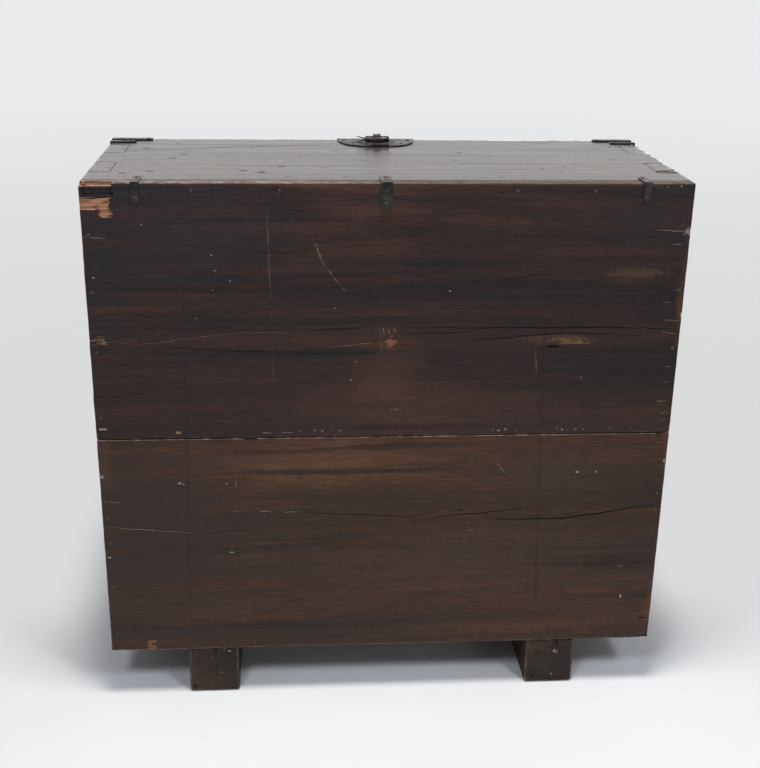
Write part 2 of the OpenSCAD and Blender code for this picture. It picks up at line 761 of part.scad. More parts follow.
module back_strap(i) color(iron) difference() {
    at_back_strap(i)
        if (i == 1) folded_strap(mid_strap_w, back_strap_top, mid_strap_drop);
        else folded_strap(back_strap_w, back_strap_top, back_strap_drop, strap_tip);
    back_strap_places() nail_hole(short_nail + strap_t);
}

module front_straps(s) color(iron) difference() {
    for (h = front_strap_z)
        at_front_strap(s, h) folded_strap(front_strap_w, front_strap_l, front_strap_l, strap_tip);
    case_strap_places(s) nail_hole(short_nail + strap_t);
}

module corner_strap_left() corner_strap(-1);

module corner_strap_right() corner_strap(1);

module edge_strap_left() edge_strap(-1);

module edge_strap_right() edge_strap(1);

module back_strap_left() back_strap(0);

module back_strap_middle() back_strap(1);

module back_strap_right() back_strap(2);

module front_straps_left() front_straps(-1);

module front_straps_right() front_straps(1);

module strap_nails() color(nail_iron) {
    for (s = [-1, 1]) case_strap_places(s) nail(short_nail + strap_t);
    back_strap_places() nail(short_nail + strap_t);
}

top_board();
bottom_board();
side_left();
side_right();
back_upper();
back_lower();
front_lower();
drop_front();
batten_left();
batten_right();
foot_left();
foot_right();
foot_nails();
back_nails();
hinge_lower_left();
hinge_lower_right();
hinge_upper_left();
hinge_upper_right();
hinge_pin_left();
hinge_pin_right();
hinge_lower_nails();
hinge_upper_nails();
hasp_top_plate();
hasp_leaf();
hasp_pin();
hasp();
hasp_nails();
lock_plate();
lock_eyes();
lock_nails();
door_bail_left();
door_bail_right();
door_eyes_left();
door_eyes_right();
door_rosettes_left();
door_rosettes_right();
side_bail_left();
side_bail_right();
side_eyes_left();
side_eyes_right();
side_rosettes_left();
side_rosettes_right();
corner_strap_left();
corner_strap_right();
edge_strap_left();
edge_strap_right();
back_strap_left();
back_strap_middle();
back_strap_right();
front_straps_left();
front_straps_right();
strap_nails();
batten_nails();
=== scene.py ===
# %% [markdown]
# # A worn drop front chest
# The chest is boarded from old softwood, stained nearly black and handled for generations. The packed
# CAD model gives every board, strap, nail and hinge at its true place, and this script dresses it. The
# boards are modelled again with worn edges, cracks and gouges, the ironwork is softened as a smith leaves
# it, and each surface gets a procedural finish. The photograph was taken from behind, so the back gets
# the closest care.

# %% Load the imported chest
import bpy
import json
import math
import random
from mathutils import Matrix, Vector

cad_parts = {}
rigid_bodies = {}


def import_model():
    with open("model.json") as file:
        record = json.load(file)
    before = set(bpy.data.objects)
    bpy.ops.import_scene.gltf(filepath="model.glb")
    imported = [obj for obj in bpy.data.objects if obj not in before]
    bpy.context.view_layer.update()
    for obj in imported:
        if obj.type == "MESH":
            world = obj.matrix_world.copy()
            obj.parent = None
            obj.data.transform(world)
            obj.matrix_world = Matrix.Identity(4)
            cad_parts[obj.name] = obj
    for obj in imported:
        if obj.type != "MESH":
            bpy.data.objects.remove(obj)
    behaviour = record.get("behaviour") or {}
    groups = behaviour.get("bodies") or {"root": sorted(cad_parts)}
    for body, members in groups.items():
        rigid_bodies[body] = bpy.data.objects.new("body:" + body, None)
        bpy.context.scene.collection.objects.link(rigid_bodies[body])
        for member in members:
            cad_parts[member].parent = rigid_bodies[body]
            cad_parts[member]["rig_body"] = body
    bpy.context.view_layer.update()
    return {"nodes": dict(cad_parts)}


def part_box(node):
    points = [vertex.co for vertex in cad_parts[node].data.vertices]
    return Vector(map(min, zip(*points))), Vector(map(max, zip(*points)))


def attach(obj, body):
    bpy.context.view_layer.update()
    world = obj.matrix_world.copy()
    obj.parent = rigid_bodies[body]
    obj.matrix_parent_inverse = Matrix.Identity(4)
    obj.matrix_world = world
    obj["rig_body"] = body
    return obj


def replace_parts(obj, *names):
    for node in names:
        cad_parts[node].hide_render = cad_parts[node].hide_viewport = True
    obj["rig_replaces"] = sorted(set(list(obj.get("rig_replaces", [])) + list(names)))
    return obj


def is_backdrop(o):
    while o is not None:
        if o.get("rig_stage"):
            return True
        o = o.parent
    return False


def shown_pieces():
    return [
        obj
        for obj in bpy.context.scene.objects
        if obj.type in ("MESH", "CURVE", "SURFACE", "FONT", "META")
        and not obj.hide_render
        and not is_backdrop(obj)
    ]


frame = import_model()
nodes = frame["nodes"]
bpy.context.scene.view_settings.view_transform = "Standard"
mm = 0.001
print("pieces in the frame:", len(nodes))

# %% [markdown]
# ## Camera
# A camera was fitted to the corners of the case in the photograph. It stands behind the chest, a little
# higher than the top, and is turned slightly off the middle. The position and the three angles are
# written down as they came from that fit.

# %% Camera
camera_spot = Vector((0.1424, 1.9312, 1.2045))
camera_pitch = math.radians(20.63)
camera_yaw = math.radians(4.27)
camera_roll = math.radians(0.91)

bpy.ops.object.camera_add()
camera = bpy.context.object
camera.data.sensor_width = 36
camera.data.lens = 56.4
heading = Matrix.Rotation(math.pi - camera_yaw, 4, "Z")
tilt = Matrix.Rotation(math.pi / 2 - camera_pitch, 4, "X")
camera.matrix_world = Matrix.Translation(camera_spot) @ heading @ tilt @ Matrix.Rotation(camera_roll, 4, "Z")
bpy.context.scene.camera = camera

# %% [markdown]
# ## Node helpers
# Every finish below is a small graph of shader nodes. A few helpers keep them short. One adds a node and
# connects what it is given, and the others do sums with numbers or places, map one range of values onto
# another, mix two colours, or read one coordinate of a place. A colour is written as it is seen on screen,
# from 0 to 255, and is turned into the linear values that Blender expects.

# %% Node helpers
def add(tree, kind, inputs=None, output=0, **settings):
    made = tree.nodes.new("ShaderNode" + kind)
    for setting, value in settings.items():
        setattr(made, setting, value)
    for socket, value in (inputs or {}).items():
        if isinstance(value, bpy.types.NodeSocket):
            tree.links.new(value, made.inputs[socket])
        else:
            made.inputs[socket].default_value = value
    return made.outputs[output] if made.outputs else made


def sums(tree, operation, first, second=0.0, third=0.0):
    return add(tree, "Math", {0: first, 1: second, 2: third}, operation=operation)


def times(tree, first, second):
    return sums(tree, "MULTIPLY", first, second)


def places(tree, operation, first, second=(0, 0, 0), output=0):
    return add(tree, "VectorMath", {0: first, 1: second}, output=output, operation=operation)


def coordinate(tree, place, axis):
    return add(tree, "SeparateXYZ", {0: place}, output="xyz".index(axis))


def ramp(tree, value, low, high, to_low=0.0, to_high=1.0, kind="SMOOTHSTEP"):
    """Maps the range from low to high onto another."""
    inputs = {"Value": value, "From Min": low, "From Max": high, "To Min": to_low, "To Max": to_high}
    return add(tree, "MapRange", inputs, interpolation_type=kind)


def mix(tree, share, first, second, blend="MIX"):
    return add(tree, "Mix", {0: share, 6: first, 7: second}, output=2, data_type="RGBA", blend_type=blend)


def tone(red, green, blue):
    linear = [(c / 255 / 12.92 if c < 10 else ((c / 255 + 0.055) / 1.055) ** 2.4) for c in (red, green, blue)]
    return (*linear, 1.0)


print("middle grey on screen is", round(tone(128, 128, 128)[0], 3), "as light")

# %% [markdown]
# ## Floor
# The photograph was taken on a white floor in front of a white sheet. A disc makes the floor. Close to the
# chest it is a plain diffuse surface that holds the shadow, and further out it fades into the background
# colour. Only what the camera or a gloss sees is faded, so no extra light falls on the wood.

# %% Floor
background = tone(233, 234, 236)
far_floor = tone(218, 219, 220)
near_floor = tone(238, 238, 238), tone(245, 245, 243)
floor_radius = 9
shadow_middle = (0, 0.35, 0)
shadow_fade = 0.62, 1.2
side_fade = 0.46, 0.62
back_fade = -0.15, 0.22
far_fade = 1.6, 8.0


def seen_directly(tree):
    """1 for the camera's own rays and for those seen in gloss or through glass."""
    rays = tree.nodes.new("ShaderNodeLightPath")
    gloss = sums(tree, "MAXIMUM", rays.outputs["Is Camera Ray"], rays.outputs["Is Glossy Ray"])
    return sums(tree, "MAXIMUM", gloss, rays.outputs["Is Transmission Ray"]), rays


bpy.ops.mesh.primitive_circle_add(vertices=96, radius=floor_radius, fill_type="NGON", location=(0, 0, 0))
floor = bpy.context.object
floor.name = "floor"
floor_finish = bpy.data.materials.new("studio_floor")
floor_finish.use_nodes = True
tree = floor_finish.node_tree
tree.nodes.clear()
direct = seen_directly(tree)[0]
on_floor = add(tree, "TexCoord", output=3)
away = places(tree, "DISTANCE", on_floor, shadow_middle, output=1)
beside = ramp(tree, sums(tree, "ABSOLUTE", coordinate(tree, on_floor, "x")), *side_fade)
to_front = ramp(tree, coordinate(tree, on_floor, "y"), *back_fade, 1.0, 0.0)
fade = sums(tree, "MAXIMUM", ramp(tree, away, *shadow_fade), times(tree, beside, to_front))
cloth = add(tree, "TexNoise", {"Vector": on_floor, "Scale": 1.3, "Detail": 2.0})
plain = add(tree, "BsdfDiffuse", {"Color": mix(tree, cloth, *near_floor)})
distance_tone = mix(tree, ramp(tree, away, *far_fade), far_floor, background)
glow = add(tree, "Emission", {"Color": distance_tone, "Strength": 1.0})
shown = add(tree, "MixShader", {0: times(tree, fade, direct), 1: plain, 2: glow})
add(tree, "OutputMaterial", {"Surface": shown})
floor.data.materials.append(floor_finish)
floor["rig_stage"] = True
print("floor:", 2 * floor_radius, "m across")

# %% [markdown]
# ## Background and lamps
# The white sheet is the world's background. A gloss mirrors that sheet on the far side of the chest, and
# the darker room on the camera's side. Four lamps stand for the soft light of the room: one above, one on
# each side, and a low weak one from beyond the chest.

# %% Background and lamps
room_light = (0.2, 0.205, 0.22, 1.0)
gloss_in_front = (0.94, 0.93, 0.92, 1.0)
gloss_behind = tone(92, 92, 96)
world = bpy.data.worlds.new("studio")
world.use_nodes = True
bpy.context.scene.world = world
tree = world.node_tree
tree.nodes.clear()
direct, rays = seen_directly(tree)
behind = ramp(tree, coordinate(tree, add(tree, "TexCoord", output=0), "y"), -0.6, 0.25)
gloss_light = mix(tree, behind, gloss_in_front, gloss_behind)
seen = mix(tree, rays.outputs["Is Glossy Ray"], background, gloss_light)
lit = mix(tree, direct, room_light, seen)
add(tree, "OutputWorld", {"Surface": add(tree, "Background", {"Color": lit, "Strength": 1.0})})

# Each lamp: the way to it from the middle of the floor, turned from +Y and raised, its distance, size, watts
# and colour
lamps = {
    "lamp_above": (5, 79, 2.9, 0.6, 47, (1.0, 0.985, 0.95)),
    "lamp_left": (21, 47, 2.9, 0.45, 16, (0.84, 0.9, 1.0)),
    "lamp_right": (-32, 47, 2.9, 0.45, 16, (0.84, 0.9, 1.0)),
    "lamp_front": (200, 9, 3.0, 0.8, 11, (1.0, 0.98, 0.95)),
}
for name, (turned, raised, distance, size, watts, colour) in lamps.items():
    turned, raised = math.radians(turned), math.radians(raised)
    way = Vector((math.sin(turned) * math.cos(raised), math.cos(turned) * math.cos(raised), math.sin(raised)))
    bpy.ops.object.light_add(type="AREA", location=way * distance)
    lamp = bpy.context.object
    lamp.name = name
    lamp.data.size = size
    lamp.data.energy = watts
    lamp.data.color = colour
    lamp.rotation_euler = way.to_track_quat("Z", "Y").to_euler()
print("lamps:", len(lamps))

# %% [markdown]
# ## Marks and pale arrises
# Stains, scratches and pale arrises are all laid out in millimetres on the chest itself. The pale arrises
# stand for wear, and on the lower back board also for a painted highlight along its top arris. Each is a
# share from 0 to 1, made from how far a point lies from the mark. The edge of a mark is pushed about by the
# wood's own streaks, so that it frays along the grain as a real one does.

# %% Places and marks
back_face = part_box("back_upper")[1].y
back_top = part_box("back_upper")[1].z
inside_low = Vector((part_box("side_left")[1].x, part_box("front_lower")[1].y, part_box("bottom_board")[1].z))
inside_high = Vector((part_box("side_right")[0].x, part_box("back_upper")[0].y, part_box("top_board")[0].z))


def insets(tree, place, low, high):
    """How deep a place lies in a box, along each of the three axes."""
    middle = [(a + b) / 2 for a, b in zip(low, high)]
    half = [(b - a) / 2 for a, b in zip(low, high)]
    off = places(tree, "ABSOLUTE", places(tree, "SUBTRACT", place, middle))
    inset = places(tree, "SUBTRACT", half, off)
    return [coordinate(tree, inset, axis) for axis in "xyz"]


def within(tree, place, low, high, edge=1 * mm):
    """1 inside the box from low to high, fading over its edge."""
    x, y, z = insets(tree, place, low, high)
    least = sums(tree, "MINIMUM", sums(tree, "MINIMUM", x, y), z)
    return ramp(tree, least, -edge, edge)


def arris_share(tree, place, low, high, reach):
    """1 along the edges of the box from low to high, where two of its faces are near."""
    x, y, z = insets(tree, place, low, high)
    least = sums(tree, "MINIMUM", x, y)
    most = sums(tree, "MAXIMUM", x, y)
    second = sums(tree, "MAXIMUM", least, sums(tree, "MINIMUM", most, z))
    return ramp(tree, second, 0.3 * reach, reach, 1.0, 0.0)


def spot(x, z, half_x, half_z, colour, strength, ragged):
    """A stain or worn place on an upright face, with an edge broken up along the grain."""
    def paint(tree, place, streaks, grit):
        off = places(tree, "SUBTRACT", place, (x * mm, 0, z * mm))
        off = places(tree, "MULTIPLY", off, (1 / half_x / mm, 0, 1 / half_z / mm))
        far = places(tree, "LENGTH", off, output=1)
        uneven = sums(tree, "SUBTRACT", sums(tree, "ADD", streaks, times(tree, grit, 0.5)), 0.75)
        far = sums(tree, "ADD", far, times(tree, uneven, 4 * ragged))
        return times(tree, ramp(tree, far, 0.35, 1.3, 1.0, 0.0), strength), tone(*colour)
    return paint


def stroke(start, end, width, colour, strength, solid=0.12):
    """A scratch or a pencil line from start to end on an upright face."""
    start, end = [Vector((x, 0, z)) * mm for x, z in (start, end)]
    way = end - start

    def paint(tree, place, streaks, grit):
        off = places(tree, "SUBTRACT", places(tree, "MULTIPLY", place, (1, 0, 1)), start)
        along = places(tree, "DOT_PRODUCT", off, way / way.length_squared, output=1)
        nearest = add(tree, "VectorMath", {0: way, 3: add(tree, "Clamp", {0: along})}, operation="SCALE")
        miss = places(tree, "DISTANCE", off, nearest, output=1)
        share = ramp(tree, miss, 0.15 * width * mm, 0.7 * width * mm, 1.0, 0.0)
        broken = ramp(tree, grit, 0.42, 0.6, solid, 1.0)
        return times(tree, times(tree, share, broken), strength), tone(*colour)
    return paint


print("inside of the case in millimetres:", [round(v / mm) for v in inside_high - inside_low])

# %% [markdown]
# ## Wood
# The boards are sawn flat, so their year rings show as long wavy lines along the board and as short marks
# on its ends. A pattern that fills space gives both at once. Noise is stretched about fifty times along
# the grain, and is first pushed sideways by a slow noise, which makes the lines wander. Counting one
# slow noise round and round gives the nested ring lines of a flat sawn board. Dark stain, worn paths and
# dirt are laid over that, and the fibres also go into the bump and the gloss. The inside was never
# stained, so it is paler and dull, and so is the drop front's inner face.

# %% Wood finish
def start_finish(name):
    """A new finish, its graph, its shader, and the place on the chest."""
    finish = bpy.data.materials.new(name)
    finish.use_nodes = True
    tree = finish.node_tree
    return finish, tree, tree.nodes["Principled BSDF"], add(tree, "TexCoord", output=3)


def connect(tree, shader, height, relief, **looks):
    """Gives the shader its bump and whatever else is named."""
    bump = add(tree, "Bump", {"Strength": 1.0, "Distance": relief, "Height": height})
    for socket, value in {**looks, "Normal": bump}.items():
        tree.links.new(value, shader.inputs[socket.replace("_", " ")])


bare_dark, bare_light = tone(88, 62, 44), tone(130, 98, 70)
into_door = Vector((0, 3, 0)) * mm
wall_margin = Vector((4, 4, 4)) * mm


def along_grain(grain, along, across):
    return [along if axis == grain else across for axis in "xyz"]


def stretched_noise(tree, place, grain, along, across, detail=3.0, rough=0.5, shift=0.0, output=0):
    spread = {"Vector": place, "Scale": along_grain(grain, along, across), "Location": (shift, shift, shift)}
    inputs = {"Vector": add(tree, "Mapping", spread), "Scale": 1.0, "Detail": detail, "Roughness": rough}
    return add(tree, "TexNoise", inputs, output)


def wandering(tree, place, grain, seed):
    """The place, pushed aside by a slow noise."""
    push = stretched_noise(tree, place, grain, 1.6, 6.0, shift=seed, output=1)
    push = places(tree, "SUBTRACT", push, (0.5, 0.5, 0.5))
    push = add(tree, "VectorMath", {0: push, 3: 0.035}, operation="SCALE")
    return places(tree, "ADD", place, push)


# Each pattern: its scale along and across the grain, its detail and roughness, how far it is shifted from
# the board's seed, and whether it wanders
patterns = {
    "rings": (0.7, 8.0, 1.5, 0.5, 3, True), "bands": (1.1, 16.0, 4.0, 0.5, 7, True),
    "streaks": (2.6, 95.0, 5.0, 0.62, 11, True), "fibres": (16.0, 640.0, 3.0, 0.65, 17, True),
    "pores": (45.0, 1100.0, 1.0, 0.5, 0, True), "worn": (2.2, 4.5, 4.0, 0.6, 23, False),
    "veins": (1.7, 42.0, 4.0, 0.55, 31, True), "dashes": (70.0, 520.0, 2.0, 0.6, 37, False),
}


def grain_noises(tree, place, grain, seed, figure):
    """The patterns of one board, by name. The figure is how many ring lines a slow wave is cut into."""
    wavy = wandering(tree, place, grain, seed)
    noises = {}
    for name, (along, across, detail, rough, shift, wanders) in patterns.items():
        ground = wavy if wanders else place
        noises[name] = stretched_noise(tree, ground, grain, along, across, detail, rough, seed + shift)
    rings = ramp(tree, sums(tree, "FRACT", times(tree, noises["rings"], figure)), 0.0, 0.82)
    noises["rings"] = times(tree, rings, ramp(tree, rings, 1.0, 0.86))
    noises["pores"] = ramp(tree, noises["pores"], 0.3, 0.42)
    return noises


def stained_colour(tree, noises, dark, main, light):
    """Three tones mixed by the noises, then darkened along fibres, pores and short dashes."""
    body = sums(tree, "ADD", times(tree, noises["bands"], 0.55), times(tree, noises["streaks"], 0.45))
    body = ramp(tree, body, 0.34, 0.68)
    colour = mix(tree, body, dark, main)
    colour = mix(tree, times(tree, ramp(tree, noises["worn"], 0.5, 0.72), body), colour, light)
    colour = mix(tree, times(tree, noises["rings"], 0.35), colour, dark)
    darkest = [c * 0.3 for c in dark[:3]] + [1.0]
    colour = mix(tree, times(tree, ramp(tree, noises["veins"], 0.56, 0.7), 0.6), colour, darkest)
    shade = ramp(tree, noises["fibres"], 0.25, 0.75, 0.5, 1.5, "LINEAR")
    shade = times(tree, shade, ramp(tree, noises["dashes"], 0.3, 0.75, 0.75, 1.5, "LINEAR"))
    shade = times(tree, shade, ramp(tree, noises["pores"], 0.0, 1.0, 0.62, 1.0, "LINEAR"))
    grey = add(tree, "CombineColor", {0: shade, 1: shade, 2: shade})
    return mix(tree, 1.0, colour, grey, "MULTIPLY")


def wood_finish(name, grain, *tones, seed=0.0, rough=(0.42, 0.62), marks=(), figure=7.0,
                relief=0.35 * mm, inside=True, ior=1.38, top_edge=None, wear_and_highlight_box=None,
                wear_and_highlight_reach=1.8 * mm, wear_and_highlight_tone=(128, 106, 90), wear_and_highlight_strength=0.75):
    finish, tree, shader, place = start_finish(name)
    noises = grain_noises(tree, place, grain, seed, figure)
    streaks = noises["streaks"]
    colour = stained_colour(tree, noises, *[tone(*rgb) for rgb in tones])
    gloss = ramp(tree, streaks, 0.3, 0.7, *rough)

    if inside:
        bare = within(tree, place, inside_low - into_door, inside_high, 1.2 * mm)
        bare_tone = mix(tree, streaks, bare_dark, bare_light)
        colour = mix(tree, times(tree, bare, 0.75), colour, bare_tone)
        gloss = sums(tree, "MAXIMUM", gloss, times(tree, bare, 0.7))
    if marks:
        outer = ramp(tree, coordinate(tree, place, "y"), back_face - 4 * mm, back_face - 3 * mm)
        grit = add(tree, "TexNoise", {"Vector": place, "Scale": 190.0, "Detail": 3.0, "Roughness": 0.6})
    for mark in marks:
        share, paint = mark(tree, place, streaks, grit)
        colour = mix(tree, times(tree, share, outer), colour, paint)

    scuffs = add(tree, "TexNoise", {"Vector": place, "Scale": 75.0, "Detail": 3.0, "Roughness": 0.6})
    if top_edge:
        share = ramp(tree, coordinate(tree, place, "z"), top_edge - 1.4 * mm, top_edge - 0.7 * mm)
        share = times(tree, share, ramp(tree, scuffs, 0.4, 0.6, 0.2, 0.75))
        along = ramp(tree, coordinate(tree, place, "x"), -0.05, 0.2)
        colour = mix(tree, share, colour, mix(tree, along, red_edge, pale_edge))
    # Pale arrises: worn wood, and on the lower back board also a painted highlight along its top arris at the
    # seam
    if wear_and_highlight_box:
        walls = within(tree, place, inside_low - wall_margin, inside_high + wall_margin)
        share = arris_share(tree, place, *wear_and_highlight_box, wear_and_highlight_reach)
        share = times(tree, share, sums(tree, "SUBTRACT", 1.0, walls))
        share = times(tree, share, ramp(tree, scuffs, 0.42, 0.58, 0.25, wear_and_highlight_strength))
        colour = mix(tree, share, colour, tone(*wear_and_highlight_tone))

    height = sums(tree, "ADD", times(tree, noises["fibres"], 0.6), times(tree, streaks, 0.9))
    height = sums(tree, "ADD", height, times(tree, noises["pores"], 0.35))
    connect(tree, shader, height, relief, Base_Color=colour, Roughness=gloss)
    shader.inputs["IOR"].default_value = ior
    return finish


print("the bare inside reaches", round(into_door.y / mm), "mm into the drop front")

# %% [markdown]
# ## Finishes of the boards
# Each board gets its own finish, with its own seed, so that no two look cut from one plank. The upper back
# board is nearly black with a violet cast, the lower one a warmer brown, and the top is still lacquered.
# The stains of the back are listed by their place, half widths, colour, strength and raggedness, and the
# strokes by their ends, width, colour, strength and, for some, by how unbroken they are.

# %% Finishes
red_edge, pale_edge = tone(84, 62, 55), tone(140, 126, 114)
pale = (150, 126, 112)
black = (15, 12, 13)
upper_spots = [
    (330, 790, 170, 80, (34, 30, 34), 0.45, 0.8), (-400, 820, 80, 60, (30, 27, 29), 0.5, 0.8),
    (-370, 724, 50, 12, (96, 68, 42), 0.4, 0.7), (-2, 620, 9, 10, (170, 108, 78), 0.5, 1.2),
    (0, 570, 60, 70, (84, 52, 30), 0.3, 0.8), (-30, 510, 170, 40, (70, 46, 33), 0.25, 0.9),
    (275, 726, 34, 9, black, 0.7, 0.9), (170, 604, 180, 11, black, 0.85, 0.7),
    (-150, 715, 130, 8, black, 0.65, 0.8), (250, 809, 80, 4, black, 0.6, 0.6),
    (60, 655, 150, 9, black, 0.5, 0.8), (150, 830, 60, 22, black, 0.5, 0.9),
    (-446, 690, 6, 60, (110, 66, 38), 0.3, 1.0), (428, 735, 45, 100, (24, 22, 28), 0.6, 0.7),
    (-262, 622, 55, 8, (88, 64, 44), 0.4, 0.8),
]
upper_strokes = [
    ((182, 822), (179, 690), 2.0, pale, 0.24), ((179, 680), (177, 560), 1.8, pale, 0.12),
    ((112, 773), (100, 743), 3.0, pale, 0.42), ((100, 743), (68, 700), 2.6, pale, 0.28),
    ((-226, 605), (-229, 569), 2.2, (160, 104, 74), 0.5), ((-186, 836), (-237, 781), 5, black, 0.7),
    ((307, 704), (312, 466), 5, black, 0.5, 0.7), ((-238, 640), (-242, 466), 5, black, 0.55, 0.7),
    ((10, 641), (8, 632), 1.8, pale, 0.6), ((3, 641), (0, 633), 1.8, pale, 0.6),
    ((-6, 641), (-10, 636), 2.0, pale, 0.7), ((15, 640), (13, 630), 1.8, pale, 0.5),
    ((13, 622), (12, 600), 1.6, pale, 0.4), ((-3, 510), (-19, 509), 2.6, pale, 0.4),
]
lower_spots = [
    (80, 424, 190, 12, (96, 60, 42), 0.28, 0.7), (-250, 390, 120, 40, (60, 46, 38), 0.5, 0.9),
    (100, 404, 190, 6, black, 0.75, 0.6), (-120, 250, 240, 60, (84, 58, 40), 0.25, 0.9),
    (384, 96, 9, 9, (150, 112, 76), 0.4, 0.7), (-446, 150, 8, 50, (104, 68, 42), 0.25, 1.0),
    (-446, 460, 6, 50, (110, 70, 44), 0.25, 1.0), (440, 420, 9, 50, (104, 66, 46), 0.25, 1.0),
    (-200, 110, 200, 14, (88, 60, 38), 0.3, 0.9), (370, 300, 120, 170, (44, 33, 31), 0.42, 0.6),
]
lower_strokes = [
    ((312, 463), (318, 179), 5, black, 0.4, 0.7), ((-242, 463), (-252, 164), 5, black, 0.5, 0.7),
    ((-177, 414), (-189, 398), 2.4, pale, 0.5),
]
upper_marks = [spot(*row) for row in upper_spots] + [stroke(*row) for row in upper_strokes]
lower_marks = [spot(*row) for row in lower_spots] + [stroke(*row) for row in lower_strokes]
upper_finish = wood_finish("stained_back_upper", "x", (22, 13, 12), (55, 31, 24), (77, 44, 31),
                           seed=1.3, marks=upper_marks, top_edge=back_top, wear_and_highlight_box=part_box("back_upper"))
# The lower back board's arrises are painted paler and stronger than the others: partly wear, partly a painted
# highlight along its top arris at the seam
lower_finish = wood_finish("stained_back_lower", "x", (38, 24, 15), (68, 40, 23), (83, 53, 32),
                           seed=2.2, marks=lower_marks, wear_and_highlight_box=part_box("back_lower"),
                           wear_and_highlight_tone=(168, 146, 130), wear_and_highlight_strength=1.0)
bottom_finish = wood_finish("stained_bottom", "x", (34, 24, 18), (62, 40, 27), (82, 55, 36), seed=3.4)
lacquer_tones = (26, 20, 19), (48, 36, 32), (66, 48, 40)
lacquer = {"rough": (0.13, 0.26), "relief": 0.11 * mm}
top_finish = wood_finish("lacquered_top", "x", *lacquer_tones, seed=4.1, ior=1.51,
                         wear_and_highlight_box=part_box("top_board"), **lacquer)
end_finish = wood_finish("lacquered_ends", "z", *lacquer_tones, seed=6.3, ior=1.56, **lacquer)
side_finish = wood_finish("stained_side", "z", (26, 19, 18), (56, 38, 33), (80, 54, 42), seed=7.7)
front_tones = (28, 20, 18), (60, 40, 33), (84, 57, 43)
front_finish = wood_finish("stained_front", "x", *front_tones, seed=9.2, wear_and_highlight_box=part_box("front_lower"))
door_finish = wood_finish("stained_door", "x", *front_tones, seed=12.6, wear_and_highlight_box=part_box("drop_front"))
rim_finish = wood_finish("stained_rim", "x", (28, 20, 18), (56, 38, 32), (76, 52, 41), seed=8.8,
                         wear_and_highlight_box=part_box("top_board"))
batten_finish = wood_finish("stained_batten", "z", (34, 25, 21), (64, 45, 36), (86, 61, 47), seed=2.9)
foot_finishes = {}
for k, word in enumerate(("left", "right")):
    foot_finishes[word] = wood_finish(
        "runner_timber_" + word, "y", (26, 18, 13), (57, 41, 30), (87, 67, 48), seed=5.6 + k,
        rough=(0.5, 0.72), relief=1.4 * mm, inside=False, figure=16.0, wear_and_highlight_box=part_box("foot_" + word),
        wear_and_highlight_reach=4.8 * mm, wear_and_highlight_tone=(116, 102, 90), wear_and_highlight_strength=0.85)
print("wood finishes:", [f.name for f in bpy.data.materials if "stained" in f.name])

# %% [markdown]
# ## Shaping a board
# A board starts as a block at the size and place of its CAD node. Its fingers are drawn out of its ends by
# extrusion, so that board and fingers are one piece of wood. Each such step needs some edges or faces
# chosen, or a modifier applied, and these helpers do that.

# %% Shaping helpers
def only(piece):
    if bpy.context.mode != "OBJECT":
        bpy.ops.object.mode_set(mode="OBJECT")
    bpy.ops.object.select_all(action="DESELECT")
    piece.select_set(True)
    bpy.context.view_layer.objects.active = piece


def choose(piece, kind, wanted):
    """Opens the piece for editing, with only its wanted edges or faces selected."""
    only(piece)
    bpy.ops.object.mode_set(mode="EDIT")
    bpy.ops.mesh.select_mode(type=kind)
    bpy.ops.mesh.select_all(action="DESELECT")
    bpy.ops.object.mode_set(mode="OBJECT")
    found = 0
    for part in (piece.data.edges if kind == "EDGE" else piece.data.polygons):
        part.select = wanted(part)
        found += part.select
    bpy.ops.object.mode_set(mode="EDIT")
    return found


def modify(piece, kind, **settings):
    """Adds a modifier, sets it and applies it."""
    only(piece)
    made = piece.modifiers.new(kind.lower(), kind)
    for setting, value in settings.items():
        setattr(made, setting, value)
    bpy.ops.object.modifier_apply(modifier=made.name)


def start_block(name, low, high):
    low, high = Vector(low), Vector(high)
    bpy.ops.mesh.primitive_cube_add(size=1, location=(low + high) / 2)
    piece = bpy.context.object
    piece.name = name
    piece.scale = high - low
    bpy.ops.object.transform_apply(location=True, rotation=True, scale=True)
    return piece


def slice_across(piece, axis, cuts):
    """Cuts the whole piece through at each of the places along an axis."""
    normal = [float(i == axis) for i in range(3)]
    only(piece)
    bpy.ops.object.mode_set(mode="EDIT")
    for cut in cuts:
        bpy.ops.mesh.select_all(action="SELECT")
        bpy.ops.mesh.bisect(plane_co=[n * cut for n in normal], plane_no=normal)
    only(piece)


def draw_out(piece, axis, side, reach, inside):
    """Extrudes the faces that look along an axis and whose middle is inside the given test."""
    move = [side * reach * (i == axis) for i in range(3)]
    if choose(piece, "FACE", lambda face: face.normal[axis] * side > 0.9 and inside(face.center)):
        bpy.ops.mesh.extrude_region_move(TRANSFORM_OT_translate={"value": move})
    only(piece)


print("shaping helpers:", [helper.__name__ for helper in (start_block, slice_across, draw_out, modify)])

# %% [markdown]
# ## Rounding and wear
# Every edge is divided until the mesh is fine enough to hold the marks of the plane, and the arrises are
# rounded by a bevel. Two displacements follow: a slow one for the unevenness left by a hand plane, and a
# quick one on the arrises alone, for years of knocks. The first only takes wood away. The second takes away
# far more than it adds, on arrises that are already bevelled back, so the board stays inside its CAD size.

# %% Rounding and wear
arris_round, sharp = 1.1 * mm, math.radians(50)
arris_reach = 2.4 * mm
wave_long, wave_wide = 0.35, 0.03
knock_size = 22 * mm


